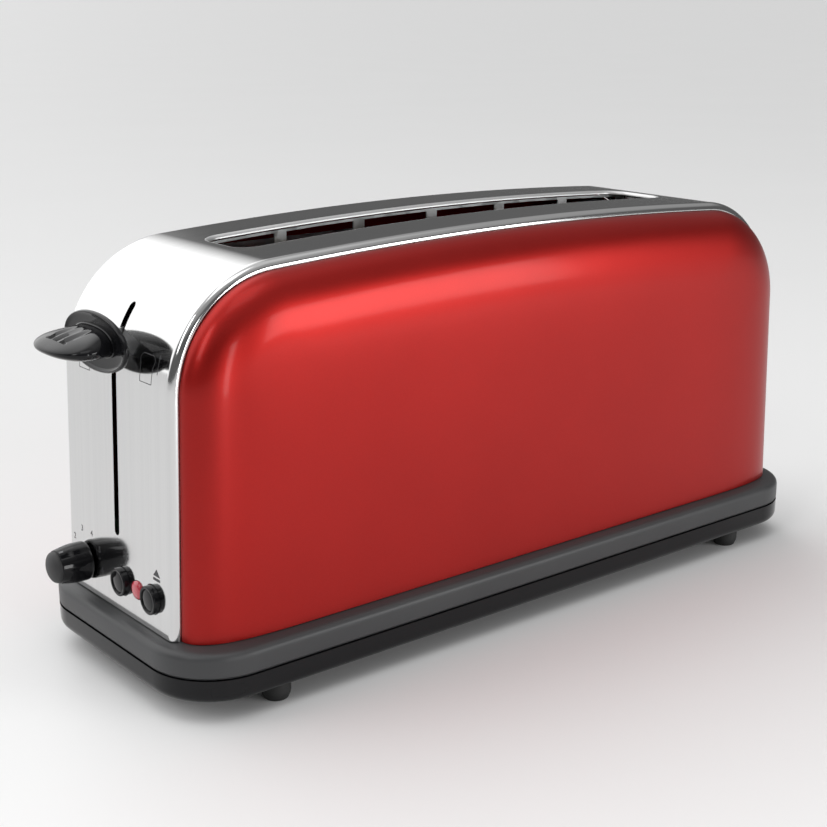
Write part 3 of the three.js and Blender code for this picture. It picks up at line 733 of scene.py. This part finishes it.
def sweptRing(name, profile, more):
    # a moulding with this profile swept round the rounded rectangle of the base
    section = sectionOf(name + "_section", [(x, -z) for x, z in profile])
    shapes = Shapes(name, {"length": trayHigh.x - trayLow.x, "width": trayHigh.y - trayLow.y,
                           "corner": base["cornerRadius"], "section": section, **more})
    path = shapes.roundedPath(shapes.size("length"), shapes.size("width"), shapes.size("corner"),
                              base["cornerSteps"])
    curve = shapes.add("GeometryNodeMeshToCurve", {}, Mesh=shapes.given("section"))
    return shapes, shapes.swept(path, curve)


def slabInside(shapes, thick, z):
    inset = 2 * (base["ringWidth"] - base["overlap"])
    return shapes.box(shapes.size("length") - inset, shapes.size("width") - inset, thick,
                      shapes.vector(0.0, 0.0, z))


def plinthRing():
    size = base
    low = trayHigh.z + size["shadowGap"]
    edge = deckTop - size["ledgeSlope"]
    profile = rounded([(-size["wall"], low), (0, low), (0, edge), (-size["ledge"], deckTop),
                       (-size["ringWidth"], deckTop)], size["edgeRound"], 7)
    profile = [(x, z) for x, z in profile if z > low]
    profile = [(-size["wall"], low), (-size["lowEdge"], low), (0, low + size["lowEdge"])] + profile
    profile += [(-size["ringWidth"], deckTop - size["deck"]), (-size["wall"], deckTop - size["deck"])]
    shapes, ring = sweptRing("plinth_moulding", profile, {
        "window": size["window"], "windowLength": size["windowLength"]})
    deckZ = deckTop - size["sunk"] - size["deck"] / 4
    deck = slabInside(shapes, size["deck"] / 2, deckZ)
    window = shapes.box(shapes.size("windowLength"), shapes.size("window"), 0.1,
                        shapes.vector(0.0, 0.0, deckZ))
    whole = shapes.cut(shapes.fused(ring, deck), window)
    piece = shapes.made(shapes.moved(whole, shapes.vector(middleX, 0.0, 0.0)), satin)
    settle(piece, "casing", "plinth_plastic", "plinth")


def baseTray():
    size = base
    top, low = trayHigh.z, trayLow.z
    outside = rounded([(0, top), (0, low), (-size["ringWidth"], low)], size["trayRound"], 8)
    inside = [(-size["ringWidth"], low + size["trayFloor"]), (-size["trayWall"], low + size["trayFloor"]),
              (-size["trayWall"], top)]
    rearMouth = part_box("crumb_tray")[1].z + size["mouthTop"]
    shapes, ring = sweptRing("base_tray_moulding", outside + inside, {
        "vents": size["vents"], "ventPitch": size["ventPitch"], "ventLength": size["ventLength"],
        "ventWidth": size["ventWidth"], "mouthWidth": size["mouthWidth"]})
    floor = slabInside(shapes, size["trayFloor"] - 0.6 * mm, low + size["trayFloor"] / 2)
    row = shapes.add("GeometryNodeMeshGrid", {}, Size_X=shapes.size("ventPitch") * (size["vents"] - 1),
                     Size_Y=2 * size["ventY"], Vertices_X=shapes.size("vents"), Vertices_Y=2)
    ventBox = shapes.add("GeometryNodeMeshCube", {}, Size=shapes.vector(
        shapes.size("ventLength"), shapes.size("ventWidth"), 0.02))
    vents = shapes.moved(shapes.atPoints(row, ventBox), shapes.vector(0.0, 0.0, low))
    mouthLow = low + size["trayFloor"]
    mouth = shapes.box(0.2, shapes.size("mouthWidth"), rearMouth - mouthLow,
                       shapes.vector(size["mouthWidth"] * 2 + 0.1, 0.0, (mouthLow + rearMouth) / 2))
    corners = shapes.add("GeometryNodeMeshGrid", {}, Size_X=footSpacing.x, Size_Y=footSpacing.y,
                         Vertices_X=2, Vertices_Y=2)
    hole = shapes.add("GeometryNodeMeshCylinder", {}, Vertices=24, Radius=size["screwHole"], Depth=0.06)
    holes = shapes.atPoints(corners, hole)
    whole = shapes.cut(shapes.fused(ring, floor), vents, mouth, holes)
    piece = shapes.made(shapes.moved(whole, shapes.vector(middleX, 0.0, 0.0)), gloss)
    settle(piece, "casing", "gloss_black", "base_tray")


cornersOf = ("front_left", "front_right", "rear_left", "rear_right")


def atTheFeet(name, shape, material):
    # one shape repeated at the four feet
    shapes = Shapes(name, {"shape": shape, "spacingX": footSpacing.x, "spacingY": footSpacing.y})
    grid = shapes.add("GeometryNodeMeshGrid", {}, Size_X=shapes.size("spacingX"),
                      Size_Y=shapes.size("spacingY"), Vertices_X=2, Vertices_Y=2)
    places = shapes.moved(grid, shapes.vector(middleX, 0.0, 0.0))
    return shapes.made(shapes.atPoints(places, shapes.given("shape")), material)


footShape = {"radius": 7 * mm, "foot": 5.6 * mm, "hole": 1.8 * mm, "recess": 4 * mm,
             "recessDepth": 4.2 * mm, "taper": 0.35, "edgeRound": 1.2 * mm, "sides": 48}
screwShape = {"head": 3.5 * mm, "shank": 1.5 * mm, "low": 1.9 * mm, "thick": 2 * mm, "top": 25 * mm,
              "cross": 0.9 * mm, "crossLength": 4 * mm, "crossDepth": 1.1 * mm}


def feetAndScrews():
    size = footShape
    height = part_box("foot_front_left")[1].z
    outside = rounded([(size["recess"], 0), (size["foot"], 0), (size["radius"], height * size["taper"]),
                       (size["radius"], height), (size["hole"], height)], size["edgeRound"])
    profile = [(size["hole"], size["recessDepth"]), (size["recess"], size["recessDepth"])] + outside
    points, _ = turned(profile, size["sides"])
    faces = gridFaces(len(profile), size["sides"], closeColumns=True, closeRows=True)
    piece = atTheFeet("rubber_feet", meshPiece("footShape", points, faces), rubber)
    settle(piece, "casing", "black_rubber", *("foot_" + c for c in cornersOf))

    size = screwShape
    low, high = size["low"], size["low"] + size["thick"]
    profile = rounded([(0, low), (size["head"] * 0.8, low), (size["head"], low + 0.8 * mm),
                       (size["head"], high), (size["shank"], high), (size["shank"], size["top"]),
                       (0, size["top"])], 0.5 * mm)
    screw = meshPiece("screwShape", *turned(profile, 32))
    shapes = Shapes("screwWithCross", {"screw": screw, "cross": size["cross"], "arm": size["crossLength"]})
    depth = shapes.vector(0.0, 0.0, low)
    arms = [shapes.box(shapes.size("arm"), shapes.size("cross"), 2 * size["crossDepth"], depth),
            shapes.box(shapes.size("cross"), shapes.size("arm"), 2 * size["crossDepth"], depth)]
    crossed = shapes.made(shapes.cut(shapes.given("screw"), *arms), zinc)
    piece = atTheFeet("base_screws", crossed, zinc)
    settle(piece, "casing", "zinc_steel", *("base_screw_" + c for c in cornersOf))


plinthRing()
baseTray()
feetAndScrews()
print("base done")

leverKnob = {
    "flangeWidth": 29 * mm, "flangeHeight": 13.5 * mm, "flangeThick": 2.4 * mm, "dish": 0.7 * mm,
    "root": 18 * mm, "widest": 22 * mm, "noseLength": 13 * mm, "fullness": 2.15,
    "above": 7.6 * mm, "below": 5.2 * mm, "rimHeight": -0.4 * mm, "noseAbove": 2.4 * mm,
    "grooves": (-6.2, 0.0, 6.2), "grooveWidth": 3.6 * mm, "grooveDepth": 1.5 * mm,
    "stations": 56, "sides": 96,
    "widePower": 0.82, "topPower": 0.86, "underPower": 0.8,      # lower makes the section squarer
    "collar": ((1.07, 1.1, 0.0), (1.07, 1.1, 1.0), (1.03, 1.04, 1.3), (0.99, 0.98, 1.1)),
    "grooveStart": 3 * mm, "grooveRun": 10 * mm, "grooveStop": 6.5 * mm, "grooveEdge": 0.25,
}


def turnedPiece(name, profile, sides, faceX, centre, material, smooth=40, ripple=None):
    # a turned shape standing out from the control end
    points, faces = turned(profile, sides, ripple)
    return meshPiece(name, outwardsFrom(faceX, centre.y, centre.z, points), faces, material, smooth)


def signedPower(value, power):
    return (abs(value) ** power) * (1 if value >= 0 else -1)


def paddleRing(out, length):
    # one closed section of the paddle, out from the flange's front
    size = leverKnob
    left = length - out
    nose = max(0.0, 1 - left / size["noseLength"])
    roundOff = max(0.0, 1 - nose ** size["fullness"]) ** (1 / size["fullness"])
    t = min(1.0, out / (length - size["noseLength"]))
    width = (size["root"] + (size["widest"] - size["root"]) * sin(pi / 2 * t) ** 1.5) * roundOff
    slope = (out / length) ** 1.3
    above = (size["above"] + (size["noseAbove"] - size["above"]) * slope) * roundOff
    below = (size["below"] * (1 - 0.25 * slope)) * roundOff
    ring = []
    for j in range(size["sides"]):
        angle = 2 * pi * j / size["sides"]
        y = width * signedPower(cos(angle), size["widePower"])
        rise = sin(angle)
        if rise >= 0:
            z = size["rimHeight"] + above * rise ** size["topPower"]
        else:
            z = size["rimHeight"] - below * abs(rise) ** size["underPower"]
        if rise > size["grooveEdge"] and left > size["grooveStop"]:
            ramp = min(1.0, max(0.0, (out - size["grooveStart"]) / (length - size["grooveRun"])))
            for centre in size["grooves"]:
                near = 1 - min(1.0, abs(y - centre * mm) / (size["grooveWidth"] / 2)) ** 4
                z -= size["grooveDepth"] * ramp * near
        ring.append(Vector((-y, z, out)))
    return ring


def leverKnobPieces():
    size = leverKnob
    low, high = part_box("lever_knob")
    centre = middle("lever_knob")
    thick, wide, tall = size["flangeThick"], size["flangeWidth"], size["flangeHeight"]
    profile = [(0.0, 0.0), (0.94, 0.0), (0.98, 0.25 * mm), (1.0, 0.9 * mm), (1.0, 1.5 * mm),
               (0.985, 2.1 * mm), (0.96, thick), (0.93, thick), (0.9, thick - 0.35 * mm),
               (0.8, thick - size["dish"]), (0.4, thick - size["dish"]), (0.0, thick - size["dish"])]
    rings = []
    for share, out in profile:
        ring = []
        for j in range(120):
            angle = 2 * pi * j / 120
            edge = (1 - share) * tall                  # the same margin all round, not a scaled oval
            ring.append(Vector(((wide - edge) * share ** 0.2 * cos(angle) if share else 0.0,
                                (tall - edge) * sin(angle) if share else 0.0, out)))
        rings.append(ring)
    points, faces = lofted(rings)
    piece = meshPiece("lever_flange", outwardsFrom(high.x, 0, centre.z, points), faces, gloss, 30)
    settle(piece, "carriage", "gloss_black", "lever_knob")

    start = thick - size["dish"] - 0.2 * mm
    length = high.x - low.x - start
    rings = []
    for k in range(size["stations"] + 1):
        t = k / size["stations"]
        out = length * (1 - (1 - t) ** 1.6)
        rings.append(paddleRing(min(out, length), length))
    collar = [[Vector((p.x * wider, p.y * taller, p.z + out * mm)) for p in rings[0]]
              for wider, taller, out in size["collar"]]
    body = [ring for ring in rings if ring[0].z > 1.4 * mm]
    points, faces = lofted(collar + body)
    points = outwardsFrom(high.x - start, 0, centre.z, points)
    piece = meshPiece("lever_paddle", points, faces, gloss, 38)
    settle(piece, "carriage", "gloss_black")


dial = {"radius": 9.5 * mm, "ring": 8.1 * mm, "dome": 4 * mm, "facets": 14, "facetDepth": 0.012,
        "pointerTurn": 18.75, "numberRadius": 15.2 * mm, "numberSize": 4.3 * mm, "step": 37.5}


def browningDial():
    size = dial
    low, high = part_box("browning_knob")
    centre = middle("browning_knob")
    proud = high.x - low.x
    ringOut = proud - size["dome"]
    body = rounded([(0, 0), (size["radius"] - 0.5 * mm, 0), (size["radius"], 1.2 * mm),
                    (size["radius"], proud * 0.42), (size["ring"], ringOut),
                    (size["ring"] - 0.8 * mm, ringOut + 0.1 * mm), (0, ringOut + 0.1 * mm)], 3 * mm, 8)

    def flute(angle, height):
        inside = min(1.0, max(0.0, (height - 0.6 * mm) / (2 * mm)))
        near = min(1.0, max(0.0, (ringOut - height) / (2 * mm)))
        return -size["facetDepth"] * inside * near * abs(cos(angle * size["facets"] / 2)) ** 6

    piece = turnedPiece("browning_body", body, 168, high.x, centre, gloss, ripple=flute)
    settle(piece, "browning_dial", "gloss_black", "browning_knob")

    radius = size["ring"] - 0.45 * mm
    cap = [(0, ringOut - 1 * mm), (radius, ringOut - 1 * mm), (radius, ringOut + 0.5 * mm)]
    for i in range(1, 13):
        angle = pi / 2 * i / 12
        cap.append((radius * cos(angle), ringOut + 0.5 * mm + (size["dome"] - 0.5 * mm) * sin(angle)))
    piece = turnedPiece("browning_cap", cap, 96, high.x, centre, soft, 50)
    settle(piece, "browning_dial", "gloss_black")

    pointer = []
    a = radians(size["pointerTurn"])
    half = 0.55 * mm
    for back, above in ((5 * mm, 0.55 * mm), (0.6 * mm, 0.2 * mm)):
        out, radius = ringOut - back, size["ring"] + above
        for across, up in ((-half, -1 * mm), (half, -1 * mm), (half, 0.12 * mm), (-half, 0.12 * mm)):
            r = radius + up
            pointer.append(Vector((r * sin(a) + across * cos(a), r * cos(a) - across * sin(a), out)))
    faces = [(3, 2, 1, 0), (4, 5, 6, 7)] + [(i, (i + 1) % 4, 4 + (i + 1) % 4, 4 + i) for i in range(4)]
    piece = meshPiece("browning_pointer", outwardsFrom(high.x, centre.y, centre.z, pointer), faces, grey)
    settle(piece, "browning_dial", "gloss_black")


button = {"radius": 6.75 * mm, "flange": 7.75 * mm, "under": 3.9 * mm,
          "rim": 1.5 * mm, "capDish": 0.5 * mm, "stem": 2.5 * mm, "flangeThick": 1.2 * mm, "sides": 72}


def pushButton(name):
    size = button
    low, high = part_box(name)
    centre = middle(name)
    face = endX(centre.z)
    proud = face - low.x
    radius, rim = size["radius"], size["rim"]
    under, stem = -size["under"], size["stem"]
    shoulder = under + size["flangeThick"]
    body = rounded([(0, face - high.x), (stem, face - high.x), (stem, under),
                    (size["flange"], under), (size["flange"], shoulder),
                    (radius, shoulder), (radius, proud - 0.4 * mm),
                    (radius - 0.5 * mm, proud), (radius - rim, proud - 0.15 * mm),
                    (radius - rim - 0.1 * mm, proud - 0.9 * mm), (0, proud - 0.9 * mm)], 0.5 * mm, 4)
    piece = turnedPiece(name + "_ring", body, size["sides"], face, centre, gloss)
    owner = name.replace("button", "key")
    settle(piece, owner, "gloss_black", name)
    inner = radius - rim - 0.25 * mm
    cap = [(0, proud - 1.3 * mm), (inner, proud - 1.3 * mm), (inner, proud - 0.75 * mm)]
    for i in range(1, 9):
        r = inner * (1 - i / 8)
        cap.append((r, proud - 0.75 * mm + size["capDish"] * (1 - (r / inner) ** 2) ** 0.6 * 1.4))
    piece = turnedPiece(name + "_cap", cap, size["sides"], face, centre, gloss, 50)
    settle(piece, owner, "gloss_black")


def lensAndGland():
    low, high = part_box("indicator_lens")
    centre = middle("indicator_lens")
    radius = (high.y - low.y) / 2
    depth = high.x - low.x
    profile = [(0, 0), (radius, 0), (radius, depth - 1.5 * mm)]
    for i in range(1, 11):
        angle = pi / 2 * i / 10
        profile.append((radius * cos(angle) ** 0.8, depth - 1.5 * mm + 1.5 * mm * sin(angle)))
    piece = turnedPiece("lens_dome", profile, 64, high.x, centre, lensRed, 50)
    settle(piece, "casing", "red_lens", "indicator_lens")

    low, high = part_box("cord_gland")
    centre = middle("cord_gland")
    outer, deep = (high.y - low.y) / 2, high.x - low.x
    neck, bore = outer - 2.2 * mm, outer - 4.4 * mm
    profile = rounded([(bore, 0), (neck, 0), (neck, deep - 2 * mm), (outer, deep - 2 * mm),
                       (outer, deep), (bore, deep), (bore, 0)], 0.8 * mm, 4)[:-1]
    points, _ = turned(profile, 56)
    faces = gridFaces(len(profile), 56, closeColumns=True, closeRows=True)
    points = [Vector((low.x + p.z, centre.y + p.x, centre.z + p.y)) for p in points]
    piece = meshPiece("gland_bush", points, faces, rubber)
    settle(piece, "casing", "black_rubber", "cord_gland")


leverKnobPieces()
browningDial()
for name in ("frozen_button", "cancel_button"):
    pushButton(name)
lensAndGland()
print("controls done")

marks = {"ink": 0.05 * mm, "under": 0.01 * mm, "step": 1.2 * mm, "line": 0.32 * mm,
         "snow": 2.7 * mm, "snowRise": 13.5 * mm, "snowLeft": -3.6 * mm,
         "eject": 6 * mm, "ejectRise": 10.4 * mm, "ejectRight": 3.9 * mm,
         "slice": 12.5 * mm, "sliceY": 28.4 * mm, "sliceZ": {-1: 155 * mm, 1: 150.5 * mm},
         "arrowY": -37.8 * mm, "arrowZ": 157.5 * mm, "arrowHalf": 3.6 * mm}


def bar2d(x0, y0, x1, y1, width):
    along = Vector((x1 - x0, y1 - y0)).normalized() * width / 2
    side = Vector((-along.y, along.x))
    a, b = Vector((x0, y0)), Vector((x1, y1))
    return [a - side, b - side, b + side, a + side]


def skinX(z):
    # where the outside of the steel is at a height, on the lever end's face and shoulder
    front = sorted((p[1], p[0]) for p in outline(0) if p[0] < middleX)
    for (z0, x0), (z1, x1) in zip(front, front[1:]):
        if z0 <= z <= z1 and z1 > z0:
            return x0 + (x1 - x0) * (z - z0) / (z1 - z0)
    return endX(z)


def inkOn(name, y, z, shapes2d):
    # printed outlines of one mark, given across and up from its centre, laid on the sheet
    points, faces = [], []
    for shape in shapes2d:
        first, count = len(points), len(shape)
        for height in (marks["under"], marks["ink"]):
            points += [Vector((p[0], p[1], height)) for p in shape]
        faces.append(tuple(first + i for i in reversed(range(count))))
        faces.append(tuple(first + count + i for i in range(count)))
        for i in range(count):
            j = (i + 1) % count
            faces.append((first + i, first + j, first + count + j, first + count + i))
    laid = [Vector((skinX(z + p.y) - p.z, y - p.x, z + p.y)) for p in points]
    piece = meshPiece(name, laid, faces, ink)
    settle(piece, "casing", "gloss_black")


def polyline(points, width):
    bars = []
    for a, b in zip(points, points[1:]):
        a, b = Vector(a), Vector(b)
        parts = int((b - a).length / marks["step"]) + 1          # short bars follow the bend
        for k in range(parts):
            start, end = a.lerp(b, k / parts), a.lerp(b, (k + 1) / parts)
            bars.append(bar2d(start.x, start.y, end.x, end.y, width))
    return bars


def breadSlice(size):
    # a slice standing on its crust: straight sides, two rounded shoulders
    points = [(-0.4, -0.5), (-0.42, 0.1)]
    for side in (-1, 1):
        for i in range(7):
            angle = radians(200 - 130 * i / 6) if side < 0 else radians(110 - 130 * i / 6)
            points.append((side * 0.24 + 0.26 * cos(angle), 0.3 + 0.2 * sin(angle)))
    points += [(0.42, 0.1), (0.4, -0.5), (-0.4, -0.5)]
    return [(x * size, y * size) for x, y in points]


def printedMarks():
    size = marks
    centre = middle("browning_knob")
    for number in range(1, 7):
        angle = radians((3.5 - number) * dial["step"])
        text = bpy.data.curves.new("number", "FONT")
        text.body, text.size, text.extrude = str(number), dial["numberSize"], size["ink"] / 2
        text.align_x, text.align_y = "CENTER", "CENTER"
        holder = placed("number", text)
        flat = evaluatedMesh(holder)
        bpy.data.objects.remove(holder)
        y = centre.y + dial["numberRadius"] * sin(angle)
        z = centre.z + dial["numberRadius"] * cos(angle)
        lift = Vector((0, 0, size["ink"] / 2 + size["under"]))
        points = outwardsFrom(endX(z), y, z, [v.co + lift for v in flat.vertices], faceLean)
        piece = meshPiece("number_%d" % number, points, [tuple(f.vertices) for f in flat.polygons], ink)
        settle(piece, "casing", "gloss_black")
    frozen, cancel = middle("frozen_button"), middle("cancel_button")
    flake = []
    for k in range(6):
        turn = Matrix.Rotation(radians(60 * k), 2)
        branch = [((0, 0), (0, 1)), ((0, 0.62), (0.24, 0.86)), ((0, 0.62), (-0.24, 0.86))]
        for a, b in branch:
            a, b = turn @ (Vector(a) * size["snow"]), turn @ (Vector(b) * size["snow"])
            flake.append(bar2d(a.x, a.y, b.x, b.y, size["line"]))
    inkOn("mark_frozen", frozen.y + size["snowLeft"], frozen.z + size["snowRise"], flake)
    half = size["eject"] / 2
    eject = [[(-half, 1.5 * mm), (half, 1.5 * mm), (0, 4.9 * mm)], bar2d(-half, 0, half, 0, 1.3 * mm)]
    inkOn("mark_cancel", cancel.y - size["ejectRight"], cancel.z + size["ejectRise"], eject)
    for side, word in ((-1, "right"), (1, "left")):
        outlineOf = polyline(breadSlice(size["slice"]), size["line"])
        inkOn("mark_slice_" + word, side * size["sliceY"], size["sliceZ"][side], outlineOf)
    arrow = polyline([(0, -size["arrowHalf"]), (0, size["arrowHalf"])], size["line"] * 1.3)
    arrow += [[(-1.2 * mm, 3.2 * mm), (1.2 * mm, 3.2 * mm), (0, 5.2 * mm)]]
    inkOn("mark_lift", size["arrowY"], size["arrowZ"], arrow)


printedMarks()
print("printed marks done")

windings = {"pitch": 9.6 * mm, "ribbonWidth": 1.6 * mm, "ribbonThick": 0.15 * mm, "clear": 0.12 * mm,
            "endMargin": 10 * mm, "edgeMargin": 8 * mm}


def ribbonOn(board):
    # flat heating ribbon wound round a mica board at an even pitch
    size = windings
    low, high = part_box(board)
    span = high.x - low.x - 2 * size["endMargin"]
    count = int(span / size["pitch"]) + 1
    shapes = Shapes("ribbon_" + board.split("_")[-1], {
        "turns": count, "pitch": size["pitch"], "width": size["ribbonWidth"],
        "thickness": size["ribbonThick"]})
    clear = 2 * size["clear"] + size["ribbonThick"]
    loop = shapes.add("GeometryNodeCurvePrimitiveQuadrilateral", {}, Width=high.y - low.y + clear,
                      Height=high.z - low.z - 2 * size["edgeMargin"])
    strip = shapes.add("GeometryNodeCurvePrimitiveQuadrilateral", {}, Width=shapes.size("thickness"),
                       Height=shapes.size("width"))
    turn = shapes.add("GeometryNodeTransform", {}, Geometry=shapes.swept(loop, strip),
                      Rotation=(pi / 2, 0, pi / 2))
    line = shapes.add("GeometryNodeMeshLine", {}, Count=shapes.size("turns"),
                      Offset=shapes.vector(shapes.size("pitch"), 0.0, 0.0))
    centre = (low + high) / 2
    first = shapes.vector(centre.x - size["pitch"] * (count - 1) / 2, centre.y, centre.z)
    piece = shapes.made(shapes.atPoints(shapes.moved(line, first), turn), ribbon)
    settle(piece, "casing", "spring_steel")


spring = {"turns": 13.0, "wire": 0.6 * mm, "radius": 4.1 * mm, "steps": 26, "pressed": 0.18}


def returnSpring():
    size = spring
    low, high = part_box("return_spring")
    centre = middle("return_spring")
    shapes = Shapes("return_coil", {"turns": size["turns"], "wire": size["wire"], "radius": size["radius"],
                                    "height": high.z - low.z - 2 * size["wire"]})
    helix = shapes.add("GeometryNodeCurveSpiral", {}, Resolution=size["steps"],
                       Rotations=shapes.size("turns"), Start_Radius=shapes.size("radius"),
                       End_Radius=shapes.size("radius"), Height=shapes.size("height"))
    wire = shapes.add("GeometryNodeCurvePrimitiveCircle", {}, Resolution=10, Radius=shapes.size("wire"))
    coil = shapes.moved(shapes.swept(helix, wire), shapes.vector(centre.x, centre.y, low.z + size["wire"]))
    piece = shapes.made(coil, steel, 60)
    settle(piece, "casing", "spring_steel", "return_spring")
    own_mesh(piece)


for board in ("heater_board_left", "heater_board_right"):
    ribbonOn(board)
returnSpring()
print("inside done")

kept = {
    zinc: ("chassis_base", "chassis_top", "end_plate_front", "end_plate_rear", "heat_shield_left",
           "heat_shield_right", "bread_guide_left", "bread_guide_right", "bread_rack", "keeper_plate",
           "lever_arm", "rod_bracket", "latch_core"),
    mica: ("heater_board_left", "heater_board_right"),
    grey: ("carriage_slider", "potentiometer", "browning_spindle", "terminal_block"),
    rubber: ("frozen_switch", "cancel_switch"),
    boardGreen: ("control_board",),
    copper: ("latch_coil",),
    steel: ("guide_rod",),
    lensRed: ("indicator_lamp",),
    gloss: ("crumb_tray",),
}
for material, nodes in kept.items():
    for node in nodes:
        for place in frame["nodes"][node].material_slots:
            place.material = material

studio = {
    "floorSize": 260.0, "floorShade": 0.84, "overhead": 0.62, "wall": 1.5, "dark": 0.13,
    "lens": 64.65, "sensor": 36.0, "eye": (-0.4885, -0.5863, 0.3113), "towards": (0.6044, 0.7487, -0.27236),
}


def paleFloor():
    made = Finish("paleFloor")
    cloud = made.noise(3, 2)
    shade = studio["floorShade"]
    made.finish(Base_Color=made.blend(cloud, (shade,) * 3, (shade + 0.02,) * 3), Roughness=0.6)
    half = studio["floorSize"]
    corners = [(-half, -half, 0), (half, -half, 0), (half, half, 0), (-half, half, 0)]
    floor = meshPiece("studio_floor", corners, [(0, 1, 2, 3)], made.material)


def softBox(name, place, target, width, height, watts):
    lamp = bpy.data.lights.new(name, "AREA")
    lamp.shape, lamp.size, lamp.size_y, lamp.energy = "RECTANGLE", width, height, watts
    holder = placed(name, lamp)
    holder.location = place
    aim = Vector(target) - Vector(place)
    holder.rotation_euler = aim.to_track_quat("-Z", "Y").to_euler()


def skyDome():
    # a bright overhead and a bright rear left wall, the rest of the studio dark
    world = bpy.data.worlds.new("studio")
    bpy.context.scene.world = world
    world.use_nodes = True
    graph = Graph(world.node_tree)
    place = Socket(graph, graph.node("ShaderNodeTexCoord").outputs["Generated"])
    split = graph.node("ShaderNodeSeparateXYZ", {}, place)
    x, y, z = (Socket(graph, split.outputs[axis]) for axis in "XYZ")
    wall = x * -0.3 + y * 0.79 + z * 0.53
    overhead = graph.add("ShaderNodeValToRGB", {"stops": [
        (0.0, 0.0), (0.4, 0.0), (0.56, 0.4), (0.76, 0.5), (0.88, 1.0)]}, z)
    lit = graph.add("ShaderNodeValToRGB", {"stops": [(0.0, 0.0), (0.64, 0.0), (0.8, 1.0)]}, wall)
    shade = overhead * studio["overhead"] + lit * studio["wall"] + studio["dark"]
    graph.put(world.node_tree.nodes["Background"].inputs["Color"], shade)
    world.node_tree.nodes["Background"].inputs["Strength"].default_value = 1.0


paleFloor()
skyDome()
softBox("sideSoftBox", (1.0, -1.75, 0.46), (0, 0, 0.12), 1.0, 0.6, 13)
softBox("endSoftBox", (-1.7, -0.5, 1.3), (-0.15, 0, 0.1), 0.5, 1.0, 6)
softBox("highSoftBox", (-0.3, -0.6, 2.2), (0, 0, 0), 1.2, 1.2, 5)
softBox("stripSoftBox", (-0.2, -0.72, 0.17), (-0.17, 0, 0.12), 0.07, 0.32, 0.6)

camera = bpy.data.cameras.new("camera")
camera.lens, camera.sensor_width = studio["lens"], studio["sensor"]
eye = placed("camera", camera)
eye.location = studio["eye"]
eye.rotation_euler = Vector(studio["towards"]).to_track_quat("-Z", "Y").to_euler()
bpy.context.scene.camera = eye
bpy.context.scene.view_settings.view_transform = "Standard"
print("studio ready")
